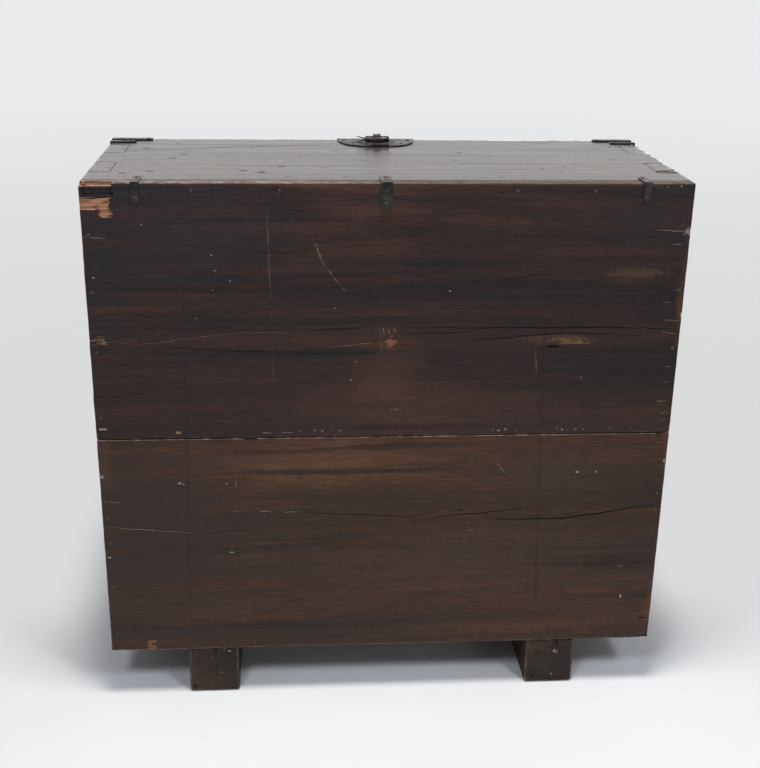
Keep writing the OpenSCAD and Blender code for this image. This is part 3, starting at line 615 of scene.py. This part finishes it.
def divide(piece, axis, spacing):
    """Divides the edges along an axis until none of them is longer than the spacing."""
    while True:
        points = piece.data.vertices
        lengths = {}
        for edge in piece.data.edges:
            way = points[edge.vertices[1]].co - points[edge.vertices[0]].co
            if abs(way[axis]) > 0.999 * way.length:
                lengths[edge.index] = way.length
        longest = max(lengths.values())
        if longest <= spacing * 1.01:
            return
        same = {i for i, length in lengths.items() if abs(length - longest) < 1e-5}
        choose(piece, "EDGE", lambda edge: edge.index in same)
        bpy.ops.mesh.subdivide(number_cuts=math.ceil(longest / spacing) - 1)
        only(piece)


def round_off(piece, spacing, width=arris_round):
    """Divides the piece finely along all three axes, then bevels its arrises."""
    for axis in range(3):
        divide(piece, axis, spacing)
    modify(piece, "BEVEL", width=width, segments=2, limit_method="ANGLE", angle_limit=sharp)


def wear(piece, grain, seed, plane_depth=0.5 * mm, knock_depth=1.3 * mm):
    """Uneven faces from the hand plane, and knocked arrises."""
    points = piece.data.vertices
    low, high = [[pick(v.co[i] for v in points) for i in range(3)] for pick in (min, max)]
    near = []
    for v in points:
        near_faces = sum(min(v.co[i] - low[i], high[i] - v.co[i]) < arris_reach for i in range(3))
        if near_faces > 1:
            near.append(v.index)
    arris = piece.vertex_groups.new(name="arris")
    arris.add(near, 1.0, "REPLACE")
    rule = bpy.data.objects.new("rule", None)
    bpy.context.collection.objects.link(rule)
    rule.location = (seed, seed * 1.7, seed * 0.6)
    rule.scale = along_grain(grain, wave_long, wave_wide)
    bpy.context.view_layer.update()
    waves = bpy.data.textures.new("plane_marks", "CLOUDS")
    waves.noise_scale = 1.0
    waves.noise_depth = 3
    knocks = bpy.data.textures.new("knocks", "CLOUDS")
    knocks.noise_scale = knock_size
    knocks.noise_depth = 2
    modify(piece, "DISPLACE", texture=waves, strength=plane_depth, mid_level=1.0,
           texture_coords="OBJECT", texture_coords_object=rule)
    modify(piece, "DISPLACE", texture=knocks, strength=knock_depth, vertex_group="arris", mid_level=0.75)
    piece.vertex_groups.remove(piece.vertex_groups["arris"])
    bpy.data.objects.remove(rule)


def dress(piece, finish, body, replaced):
    """Gives a finished piece its finish, its body and the CAD node that it stands for."""
    only(piece)
    bpy.ops.object.shade_smooth_by_angle(angle=math.radians(32))
    if not piece.data.materials:
        piece.data.materials.append(finish)
    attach(piece, body)
    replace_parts(piece, *replaced)
    triangles = sum(len(face.vertices) - 2 for face in piece.data.polygons)
    print(f"{piece.name}: {triangles} triangles")


print("arrises rounded by", round(arris_round / mm, 1), "mm, knocked within", round(arris_reach / mm, 1))

# %% [markdown]
# ## Bare and dirty wood
# The back has split along the grain, and its corner by the top has lost a piece. A painted line would lie
# flat, so the damage is cut into the boards, and what a cut lays bare needs its own look. A fresh break
# shows pale fibres, an older one has gone tan or grey, and a crack is full of dirt. One function makes all
# of these from two tones and the strength of the dirt in them.

# %% Bare and dirty wood
def fibrous_finish(name, dark, light, spots):
    dark, light = tone(*dark), tone(*light)
    finish, tree, shader, place = start_finish(name)
    fibres = stretched_noise(tree, place, "x", 30.0, 700.0, detail=4.0, rough=0.6)
    dirt = add(tree, "TexNoise", {"Vector": place, "Scale": 120.0, "Detail": 4.0})
    colour = mix(tree, ramp(tree, fibres, 0.3, 0.68), dark, light)
    colour = mix(tree, ramp(tree, dirt, 0.56, 0.7, 0.0, spots), colour, dark)
    gloss = ramp(tree, dirt, 0.3, 0.7, 0.7, 0.95)
    connect(tree, shader, fibres, 0.6 * mm, Base_Color=colour, Roughness=gloss)
    return finish


bare_wood = fibrous_finish("bare_wood", (112, 72, 48), (186, 138, 104), 0.85)
aged_wood = fibrous_finish("aged_wood", (64, 44, 28), (124, 92, 58), 0.85)
tan_wood = fibrous_finish("tan_wood", (84, 62, 46), (152, 120, 88), 0.9)
dulled_wood = fibrous_finish("dulled_wood", (66, 52, 49), (124, 106, 98), 0.8)
faded_wood = fibrous_finish("faded_wood", (98, 80, 70), (176, 156, 142), 0.7)
dirty_wood = fibrous_finish("dirty_wood", (12, 10, 10), (34, 27, 26), 0.5)
print("kinds of broken wood:", [f.name for f in bpy.data.materials if f.name.endswith("_wood")])

# %% [markdown]
# ## Cracks, chips and splintered places
# A crack is a thin four sided wedge drawn along the grain from point to point, thin at both ends. A chip is
# a ball pressed flat and roughened. A splintered place is a row of bars of torn fibres, each as long as it
# happened to tear. Boolean cuts take them all out of the board, and each cut keeps its cutter's finish.

# %% Damage helpers
def on_back(x, z):
    return Vector((x * mm, back_face, z * mm))


def on_top(x, y):
    return Vector((x * mm, y * mm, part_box("top_board")[1].z))


def wander(points, step, sway, chance, side):
    """Points a step apart along a broken line, each pushed a little aside."""
    path = []
    for start, end in zip(points, points[1:]):
        count = max(1, round(math.dist(start, end) / step))
        for k in range(count):
            path.append([a + (b - a) * k / count for a, b in zip(start, end)])
    path.append(list(points[-1]))
    for point in path[1:-1]:
        point[side] += chance.uniform(-sway, sway)
    return path


def crack(points, width, depth, finish, place=on_back, run="x", step=13, sway=0.8, seed=1):
    """A wedge to cut a crack with: width and depth in millimetres."""
    chance = random.Random(seed)
    path = [place(*point) for point in wander(points, step, sway, chance, int(run != "z"))]
    swell = [max(0.07, abs(math.sin(math.pi * k / (len(path) - 1))) ** 0.5) for k in range(len(path))]
    swell = [s * chance.uniform(0.7, 1.0) for s in swell]
    out = "z" if place is on_top else "y"
    half = [1.0 if axis == run else (depth * mm if axis == out else width / 2 * mm) for axis in "xyz"]
    turn = (0, math.pi / 2, 0) if run == "x" else (0, 0, 0)
    bpy.ops.mesh.primitive_circle_add(vertices=4, radius=1, fill_type="NGON", location=path[0], rotation=turn)
    cutter = bpy.context.object
    bpy.ops.object.transform_apply(location=True, rotation=True, scale=True)
    bpy.ops.object.mode_set(mode="EDIT")
    first = [h if axis == run else h * swell[0] for h, axis in zip(half, "xyz")]
    bpy.ops.transform.resize(value=first, center_override=path[0])
    for k in range(1, len(path)):
        bpy.ops.mesh.extrude_region_move(TRANSFORM_OT_translate={"value": path[k] - path[k - 1]})
        grow = swell[k] / swell[k - 1]
        factors = [1.0 if axis == run else grow for axis in "xyz"]
        bpy.ops.transform.resize(value=factors, center_override=path[k])
    bpy.ops.mesh.select_all(action="SELECT")
    bpy.ops.mesh.normals_make_consistent(inside=False)
    only(cutter)
    cutter.data.materials.append(finish)
    return cutter


def chip(x, z, length, height, depth, finish, place=on_back, seed=1):
    """A flattened rough ball, to cut a chip with."""
    bpy.ops.mesh.primitive_ico_sphere_add(subdivisions=2, radius=1, location=place(x, z))
    cutter = bpy.context.object
    flat = (length / 2, height / 2, depth) if place is on_top else (length / 2, depth, height / 2)
    cutter.scale = [v * mm for v in flat]
    bpy.ops.object.transform_apply(location=True, rotation=True, scale=True)
    bpy.ops.object.mode_set(mode="EDIT")
    bpy.ops.transform.vertex_random(offset=0.16 * min(length, height) * mm, seed=seed)
    only(cutter)
    cutter.data.materials.append(finish)
    return cutter


def cracks(finish, *rows, place=on_back, run="x"):
    """Cracks of one finish. A row has a crack's seed, step, width and depth, and then its points."""
    return [crack(points, width, depth, finish, place, run, step, seed=seed)
            for seed, step, width, depth, *points in rows]


def chips(finish, *rows, place=on_back):
    """Chips of one finish. A row has a chip's seed, its two places, and its length, height and depth."""
    return [chip(*sizes, finish, place, seed) for seed, *sizes in rows]


def splintered(finish, seed, low, high, bottom, top, depth, ragged=0.3, uneven=0.5, row=1.8):
    """Bars of torn fibres along the grain, to cut a broken place on the back with."""
    chance = random.Random(seed)
    face = back_face / mm
    bars = []
    z = bottom
    while z < top:
        tall = row * chance.uniform(0.6, 1.4)
        start = low if low < -x_out / mm else low + (high - low) * ragged * chance.random()
        end = high if high > x_out / mm else high - (high - low) * ragged * chance.random()
        deep = face - depth + uneven * chance.uniform(-1, 1)
        corners = (start, deep, z - 0.2), (end, face + 2, z + tall)
        bars.append(start_block("fibre", *[[v * mm for v in corner] for corner in corners]))
        divide(bars[-1], 0, 9 * mm)
        z += tall
    only(bars[0])
    for bar in bars:
        bar.select_set(True)
    bpy.ops.object.join()
    bpy.ops.object.mode_set(mode="EDIT")
    bpy.ops.mesh.select_all(action="SELECT")
    bpy.ops.transform.vertex_random(offset=0.35 * mm, seed=seed)
    only(bars[0])
    bars[0].data.materials.append(finish)
    return bars[0]


def carve(piece, finish, cutters, solver="MANIFOLD", **settings):
    """Cuts all the cutters out of a piece at once."""
    if not piece.data.materials:
        piece.data.materials.append(finish)
    only(cutters[0])
    for cutter in cutters:
        cutter.select_set(True)
    bpy.ops.object.join()
    tool = cutters[0]
    modify(piece, "BOOLEAN", operation="DIFFERENCE", object=tool, material_mode="TRANSFER",
           solver=solver, **settings)
    bpy.data.objects.remove(tool)
    print(f"{piece.name}: {len(cutters)} cuts")


print("the back's face is at y =", round(back_face / mm), "and its upper edge at z =", round(back_top / mm))

# %% [markdown]
# ## Boards of the case
# The ends of the top, bottom and fixed front boards are cut into fingers, with the fingers of the side
# boards standing between them. Each board is drawn from a block that stops where the fingers begin.

# %% Board shapes
side_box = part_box("side_right")
top_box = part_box("top_board")
bottom_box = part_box("bottom_board")
front_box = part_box("front_lower")
x_in = side_box[0].x
x_out = side_box[1].x
finger_w = 82 * mm
finger_mid = (front_box[0].y + inside_high.y) / 2
finger_cuts = [finger_mid + (k + 0.5 * t) * finger_w for k in (-1, 1) for t in (-1, 1)]
front_finger = (front_box[1].z - front_box[0].z) / 6
front_cuts = [front_box[0].z + k * front_finger for k in range(1, 6)]


def between_fingers(y):
    """True where the top and bottom boards have their own fingers."""
    return all(abs(y - finger_mid - k * finger_w) > finger_w / 2 for k in (-1, 1))


def front_finger_here(z):
    """True where the fixed front board has its own fingers."""
    return int((z - front_box[0].z) / front_finger) % 2 == 0


def fingered_board(name, low, high, cuts, axis, own_finger, spacing):
    """A board along X with fingers drawn out of both ends."""
    piece = start_block(name, (-x_in, low.y, low.z), (x_in, high.y, high.z))
    slice_across(piece, axis, cuts)
    for side in (-1, 1):
        draw_out(piece, 0, side, x_out - x_in, lambda centre: own_finger(centre[axis]))
    round_off(piece, spacing)
    return piece


def side_shape(name, side, spacing):
    """A side board, with fingers up, down and forward."""
    inner, outer = sorted((side * x_in, side * x_out))
    piece = start_block(name, (inner, inside_low.y, inside_low.z), (outer, inside_high.y, inside_high.z))
    slice_across(piece, 1, finger_cuts)
    slice_across(piece, 2, front_cuts)
    draw_out(piece, 2, 1, top_box[1].z - inside_high.z, lambda c: not between_fingers(c.y))
    draw_out(piece, 2, -1, inside_low.z - bottom_box[0].z, lambda c: not between_fingers(c.y))
    forward = [(front_cuts[k], front_cuts[k + 1]) for k in (0, 2)] + [(front_cuts[4], front_box[1].z)]
    slice_across(piece, 2, [front_box[1].z])
    draw_out(piece, 1, -1, inside_low.y - front_box[0].y, lambda c: any(a < c.z < b for a, b in forward))
    round_off(piece, spacing)
    return piece


def plain_board(name, low, high, spacing, width=arris_round):
    piece = start_block(name, low, high)
    round_off(piece, spacing, width)
    return piece


print("fingers:", round(finger_w / mm), "mm wide at the sides,", round(front_finger / mm, 1), "mm in front")

# %% [markdown]
# ## Top board
# The top is one wide board, lacquered on its face and only stained on its rim. It has served as a table for
# generations, so it has long cracks along the grain, gouges and many small dents, all filled with dirt.

# %% Top board
lacquered_rim = 1.8 * mm
gouge_size = 16, 6, 1.4
gouges = [(385, -87), (334, 3), (319, -34), (396, 129), (358, 113), (162, 74), (219, 108), (191, 122)]
dent_count = 60


def dents(chance, count, low, high):
    """Shallow dark dents, longer along the grain."""
    return [chip(chance.uniform(low[0], high[0]), chance.uniform(low[1], high[1]), chance.uniform(3, 11),
                 chance.uniform(1.8, 4.0), chance.uniform(0.6, 1.1), dirty_wood, place=on_top, seed=k)
            for k in range(count)]


top_board = fingered_board("wood_top_board", *top_box, finger_cuts, 1, between_fingers, spacing=5 * mm)
wear(top_board, "x", seed=3.1)
top_board.data.materials.append(top_finish)
top_board.data.materials.append(rim_finish)
for face in top_board.data.polygons:
    face.material_index = int(face.center.z < top_box[1].z - lacquered_rim)
carve(top_board, top_finish, [
    *cracks(dirty_wood, (81, 13, 4, 3, (440, -58), (297, -91), (148, -119), (62, -121)),
        (82, 13, 3, 2, (360, -127), (182, -123), (60, -120)),
        (83, 8, 3, 2, (-262, -138), (-300, -160), (-330, -176)),
        (84, 13, 2, 1.6, (60, -30), (-80, -34), (-240, -28)),
        (85, 13, 2, 1.6, (300, 60), (180, 64), (20, 61)),
        (86, 13, 2, 1.6, (-140, 95), (-250, 99), (-372, 94)), place=on_top),
    crack([(452, 180.5), (200, 180.5), (-200, 180.5), (-452, 180.5)], 3.5, 2.5, dirty_wood, on_top,
          sway=0.4, seed=89),
    *cracks(dirty_wood, (87, 6, 3.2, 4, (-405, 113), (-430, 106), (-452, 98)),
        (88, 5, 1.6, 2, (-436, 141), (-452, 142)), place=on_top),
    *[chip(x, y, *gouge_size, dirty_wood, on_top, 90 + x % 7) for x, y in gouges],
    *dents(random.Random(5), dent_count, (-400, -150), (400, 165)),
])
dress(top_board, top_finish, "case", ["top_board"])

# %% [markdown]
# ## Bottom, front and side boards
# These are finger jointed to each other in the same way. The fingers of the side boards come up through the
# top and were lacquered with it, so their ends get the lacquer and the rest the stain. On one side the
# wood round a finger has been knocked out.

# %% Bottom, front and side boards
lacquered_end = 1.5 * mm
bottom_board = fingered_board("wood_bottom_board", *bottom_box, finger_cuts, 1, between_fingers,
                              spacing=8 * mm)
wear(bottom_board, "x", seed=5.2)
dress(bottom_board, bottom_finish, "case", ["bottom_board"])

front_board = fingered_board("wood_front_lower", *front_box, front_cuts, 2, front_finger_here, spacing=5 * mm)
wear(front_board, "x", seed=7.4)
dress(front_board, front_finish, "case", ["front_lower"])

for side, word in ((-1, "left"), (1, "right")):
    piece = side_shape(f"wood_side_{word}", side, spacing=6 * mm)
    wear(piece, "z", seed=9.3 + side)
    piece.data.materials.append(side_finish)
    piece.data.materials.append(end_finish)
    for face in piece.data.polygons:
        face.material_index = int(face.center.z > top_box[1].z - lacquered_end)
    if word == "left":
        carve(piece, side_finish, chips(dirty_wood, (121, -438, 109, 52, 18, 3), (122, -448, 103, 24, 18, 5),
                                        (123, -424, 114, 30, 7, 1.6), place=on_top))
    dress(piece, side_finish, "case", [f"side_{word}"])

# %% [markdown]
# ## Lower back board
# The lower board of the back has long cracks along the grain. Some are open and dark, and others are only
# scratches that took the stain off. Small chips have come off its edges and beside the nails, and near its
# lower edge the wood has splintered.

# %% Lower back board
back_lower = plain_board("wood_back_lower", *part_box("back_lower"), spacing=4.5 * mm)
wear(back_lower, "x", seed=11.8)
carve(back_lower, lower_finish, [
    *cracks(faded_wood, (2, 13, 1.5, 2.5, (452, 315), (390, 309), (300, 300))),
    *cracks(dirty_wood, (3, 13, 0.9, 2, (300, 299), (210, 306)),
        (4, 13, 1.9, 5, (138, 335), (40, 328), (-43, 324), (-87, 331)),
        (5, 13, 2.0, 6, (-60, 320), (-160, 328), (-233, 335)),
        (6, 13, 2.6, 8, (-150, 316), (-284, 315), (-349, 323), (-414, 335), (-452, 334)),
        (7, 6, 3, 4, (-446, 125), (-425, 126))),
    *cracks(faded_wood, (8, 8, 1.6, 2, (452, 359), (418, 357))),
    *chips(bare_wood, (9, 440, 446, 9, 4, 1.6)),
    *chips(faded_wood, (10, 444, 402, 12, 8, 2.2), (11, 440, 329, 7, 4, 1.4), (12, 443, 260, 7, 3, 1.4),
        (13, 248, 265, 7, 2.4, 0.9), (14, 326, 389, 6, 4, 0.8), (23, 320, 387, 4, 2, 0.8),
        (24, 253, 387, 2, 4, 0.8), (25, 238, 387, 2, 5, 0.8)),
    *cracks(faded_wood, (26, 5, 1.8, 1.4, (245, 339), (228, 338)), (27, 6, 1.8, 1.4, (206, 338), (178, 336)),
        (28, 6, 1.4, 1.4, (168, 336), (134, 336))),
    *chips(faded_wood, (15, -306, 398, 7, 4, 0.6), (29, -336, 398, 2.5, 5, 0.6)),
    *chips(dirty_wood, (16, -432, 462, 10, 4, 2), (17, 214, 463, 26, 5, 2.2), (18, -118, 333, 14, 3, 1.5),
        (19, -443, 88, 16, 9, 4), (20, 446, 88, 12, 8, 3)),
    splintered(bare_wood, 21, 376, 392, 85, 103, 1.2, ragged=0.14),
    *cracks(faded_wood, (131, 5, 1.4, 1.4, (-430, 448), (-444, 447)),
        (132, 4, 1.6, 1.2, (-386, 226), (-398, 225)), (133, 4, 1.2, 1.2, (-386, 221), (-395, 221))),
    *chips(faded_wood, (134, -396, 168, 4, 8, 0.9), (135, -446, 415, 3, 8, 1.2)),
    *cracks(faded_wood, (136, 6, 1.2, 1.0, (-128, 297), (-146, 297))),
])
dress(back_lower, lower_finish, "case", ["back_lower"])

# %% [markdown]
# ## Upper back board
# The upper board took the worst. Its corner by the top has broken away in steps, strips of its face have
# splintered off, cracks run half its length, and flecks of the finish are gone along its edges. Here many
# cutters run into each other and into the splintered bars. The quick solver for closed meshes breaks down
# on them, so this board uses the exact one, told that the cutters meet themselves.

# %% Upper back board
flecks = [(137, 475), (114, 476), (102, 475), (74, 475), (-166, 474), (-186, 474), (-203, 472), (264, 756),
          (259, 733), (238, 717), (363, 802), (437, 723), (264, 703), (51, 589), (58, 559), (83, 674),
          (-408, 858), (-428, 859), (165, 848), (290, 660), (-90, 700), (-300, 560), (-268, 473), (-276, 472),
          (-284, 472), (-297, 472), (-311, 472), (-352, 474), (-386, 472), (-175, 472)]
back_upper = plain_board("wood_back_upper", *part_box("back_upper"), spacing=4.5 * mm)
wear(back_upper, "x", seed=13.9)
carve(back_upper, upper_finish, [
    *cracks(dulled_wood, (31, 13, 1.7, 2, (420, 627), (381, 618), (300, 629), (213, 638), (127, 636)),
        (61, 13, 1.4, 2, (436, 618), (400, 628), (340, 634))),
    *cracks(dirty_wood, (62, 13, 1.6, 5, (345, 614), (240, 608), (160, 605)),
        (32, 13, 1.6, 5, (122, 640), (30, 643)),
        (33, 13, 2.2, 7, (-8, 643), (-138, 641), (-277, 641), (-380, 640), (-452, 637))),
    *cracks(faded_wood, (34, 13, 1.3, 2.5, (98, 612), (60, 615), (22, 619))),
    *cracks(dirty_wood, (35, 13, 1.4, 4, (-13, 632), (-70, 633), (-125, 635)),
        (36, 13, 1.9, 6, (-99, 618), (-216, 629), (-278, 632), (-403, 627)),
        (37, 13, 1.3, 4, (185, 601), (121, 602), (20, 603)),
        (38, 13, 1.0, 3, (-55, 556), (-140, 559), (-225, 557)),
        (39, 13, 0.9, 2, (276, 764), (193, 760), (112, 758)),
        (40, 13, 1.2, 3, (-145, 714), (-200, 721), (-255, 727)),
        (41, 7, 2.2, 9, (452, 841), (430, 840), (404, 842))),
    *cracks(faded_wood, (42, 6, 1.8, 2, (452, 785), (430, 783), (413, 781)),
        (43, 8, 1.0, 1.6, (452, 770), (405, 769)), (44, 7, 1.7, 2, (-395, 793), (-430, 792), (-452, 794)),
        (45, 6, 1.4, 2, (-423, 771), (-439, 771))),
    *cracks(dirty_wood, (46, 13, 0.9, 2.5, (-60, 490), (-110, 494), (-150, 494))),
    *cracks(faded_wood, (63, 5, 1.6, 1.6, (-428, 700), (-448, 701)),
        (64, 5, 1.5, 1.6, (-415, 681), (-432, 680)), (65, 5, 1.5, 1.6, (-430, 576), (-444, 577)),
        (141, 5, 1.4, 1.4, (-428, 551), (-441, 551))),
    *cracks(aged_wood, (142, 5, 3.2, 1.4, (-422, 652), (-448, 651)),
        (143, 5, 2.4, 1.4, (-418, 632), (-444, 631)), (144, 5, 3.2, 1.4, (-422, 519), (-443, 518)),
        (145, 5, 2.8, 1.4, (-426, 498), (-447, 497)), (146, 5, 2.2, 1.4, (-428, 487), (-447, 488))),
    splintered(bare_wood, 47, 400, 452, 857.5, 866, 15, ragged=0.12, uneven=1.5),
    splintered(dirty_wood, 48, 400, 446, 845, 856.8, 2.8, ragged=0.08, uneven=1.0),
    splintered(bare_wood, 49, 403, 452, 824, 840, 2.0, ragged=0.16, uneven=0.7),
    splintered(bare_wood, 50, 402, 424, 813, 824, 1.8, ragged=0.3, uneven=0.6),
    splintered(tan_wood, 51, 412, 449, 619, 632, 1.6, ragged=0.5, uneven=0.8, row=1.4),
    splintered(aged_wood, 52, -312, -236, 615, 624.5, 1.2, ragged=0.45, uneven=0.7),
    *chips(dirty_wood, (53, -252, 610, 22, 6, 5)),
    *chips(faded_wood, (54, -447, 791, 12, 12, 5)),
    *chips(tan_wood, (55, 324, 475, 10, 5, 1.4)),
    *cracks(faded_wood, (56, 4, 2.0, 1.2, (196, 473), (178, 472)),
        (137, 4, 1.4, 1.2, (168, 473), (146, 473))),
    *chips(faded_wood, (57, 439, 482, 14, 4, 1.6)),
    *chips(dirty_wood, (58, -160, 848, 9, 5, 2), (59, -449, 700, 8, 14, 3)),
    *chips(faded_wood, (60, -450, 660, 8, 10, 3)),
    *[chip(x, z, 2 + k % 3, 1.6 + k % 2, 0.7, faded_wood, seed=70 + k) for k, (x, z) in enumerate(flecks)],
], solver="EXACT", use_self=True)
dress(back_upper, upper_finish, "case", ["back_upper"])

# %% [markdown]
# ## Drop front and battens
# The drop front is one plain board that turns with its joint, so it and its battens ride on the door's
# body. The battens are nailed across it inside and keep it flat. Their arrises are planed off more.

# %% Drop front and battens
door = plain_board("wood_drop_front", *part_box("drop_front"), spacing=5 * mm)
wear(door, "x", seed=15.5)
dress(door, door_finish, "door", ["drop_front"])

for word in ("left", "right"):
    piece = plain_board(f"wood_batten_{word}", *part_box(f"batten_{word}"), spacing=6 * mm, width=2 * mm)
    wear(piece, "z", seed=17.1)
    dress(piece, batten_finish, "door", [f"batten_{word}"])

# %% [markdown]
# ## Runners
# The runners have been pushed over floors for generations. Their arrises are rounded and knocked more than
# those of the boards, their ends show coarse grain, and each end has split from the top where a nail or the
# weight of the case opened it. The damage is placed from the middle of each runner's end.

# %% Runners
for word in ("left", "right"):
    foot_low, foot_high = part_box(f"foot_{word}")
    middle = (foot_low.x + foot_high.x) / 2 / mm

    def on_foot(x, z):
        return Vector(((middle + x) * mm, foot_high.y, z * mm))

    piece = plain_board(f"wood_foot_{word}", foot_low, foot_high, spacing=5 * mm, width=4.5 * mm)
    wear(piece, "y", seed=19.7, plane_depth=0.9 * mm, knock_depth=2.2 * mm)
    if word == "right":
        cutters = [
            *cracks(dirty_wood, (101, 4, 2.4, 8, (-3, 88), (-4, 76), (-3, 68)),
                (102, 6, 1.0, 3, (-5, 66), (-4, 30), (-6, 2)), place=on_foot, run="z"),
            *chips(faded_wood, (105, -17, 83, 8, 6, 1.6), (106, -26, 78, 6, 4, 1.2), place=on_foot),
            *cracks(faded_wood, (107, 4, 2.0, 1.6, (12, 56), (4, 62), (-2, 69)), place=on_foot),
            *chips(faded_wood, (108, -12, 37, 3, 2, 0.8), place=on_foot),
            *chips(dirty_wood, (109, 34, 12, 9, 7, 2.2), place=on_foot),
        ]
    else:
        cutters = [
            *cracks(dirty_wood, (111, 3, 3.4, 9, (-10, 88), (-12, 79), (-11, 72)), place=on_foot, run="z"),
            *chips(faded_wood, (114, -10, 62, 10, 8, 1.4), place=on_foot),
            *chips(dirty_wood, (115, -11, 63, 5, 4, 2.2), (116, 28, 14, 8, 7, 2.5), place=on_foot),
            *chips(faded_wood, (117, -6, 16, 4, 4, 1.0), (118, -20, 85, 6, 5, 1.5), place=on_foot),
        ]
    carve(piece, foot_finishes[word], cutters)
    dress(piece, foot_finishes[word], "case", [f"foot_{word}"])

# %% [markdown]
# ## Iron
# The mounts are hand forged. Iron of that age is nearly black, with a brown bloom of rust and a dull sheen
# where hands have rubbed it. It is made as a dark metal whose colour and roughness both follow one noise.

# %% Iron finish
def iron_finish(name, dark, rust, rust_share, rough, scale):
    dark, rust = tone(*dark), tone(*rust)
    finish, tree, shader, place = start_finish(name)
    bloom = add(tree, "TexNoise", {"Vector": place, "Scale": scale, "Detail": 5.0, "Roughness": 0.62})
    hammered = add(tree, "TexNoise", {"Vector": place, "Scale": 70.0, "Detail": 0.0})
    share = ramp(tree, bloom, 0.62 - rust_share, 0.8 - rust_share)
    colour = mix(tree, share, dark, rust)
    gloss = ramp(tree, share, 0.0, 1.0, rough, 0.8, "LINEAR")
    metal = ramp(tree, share, 0.0, 1.0, 0.45, 0.05, "LINEAR")
    height = sums(tree, "ADD", hammered, times(tree, share, 0.12))
    connect(tree, shader, height, 0.8 * mm, Base_Color=colour, Roughness=gloss, Metallic=metal)
    shader.inputs["IOR"].default_value = 1.6
    return finish


iron = iron_finish("forged_iron", (37, 35, 34), (52, 37, 29), 0.14, 0.3, 60)
nail_iron = iron_finish("nail_iron", (42, 38, 36), (66, 48, 40), 0.2, 0.45, 150)
print("iron finishes:", iron.name, nail_iron.name)

# %% [markdown]
# ## Softened ironwork
# A smith's edges are never sharp, and hands round them further. The CAD model already has the exact shape
# of every strap, hinge, bail and nail, so each is copied from its node, its edges are bevelled, and its
# rivets and knuckles stay where they turn. It rides on the same body as its node.

# %% Softened ironwork
iron_round, nail_round = 0.45 * mm, 0.25 * mm


def soften(node, body, finish, width):
    """A copy of a CAD node with its sharp edges rounded."""
    piece = bpy.data.objects.new("iron_" + node, nodes[node].data.copy())
    bpy.context.collection.objects.link(piece)
    piece.data.materials.clear()
    only(piece)
    bpy.ops.object.mode_set(mode="EDIT")
    bpy.ops.mesh.select_all(action="SELECT")
    bpy.ops.mesh.remove_doubles(threshold=0.00001)
    bpy.ops.mesh.dissolve_limited(angle_limit=math.radians(1))
    only(piece)
    modify(piece, "BEVEL", width=width, segments=2, limit_method="ANGLE", angle_limit=math.radians(38))
    dress(piece, finish, body, [node])


wooden = {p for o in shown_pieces() if "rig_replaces" in o for p in o["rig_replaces"]}
bodies = {node: obj["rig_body"] for node, obj in nodes.items()}
for node in sorted(set(nodes) - wooden):
    nailed = node.endswith("nails")
    soften(node, bodies[node], nail_iron if nailed else iron,
           nail_round if nailed else iron_round)
print("pieces of iron:", len(set(nodes) - wooden))
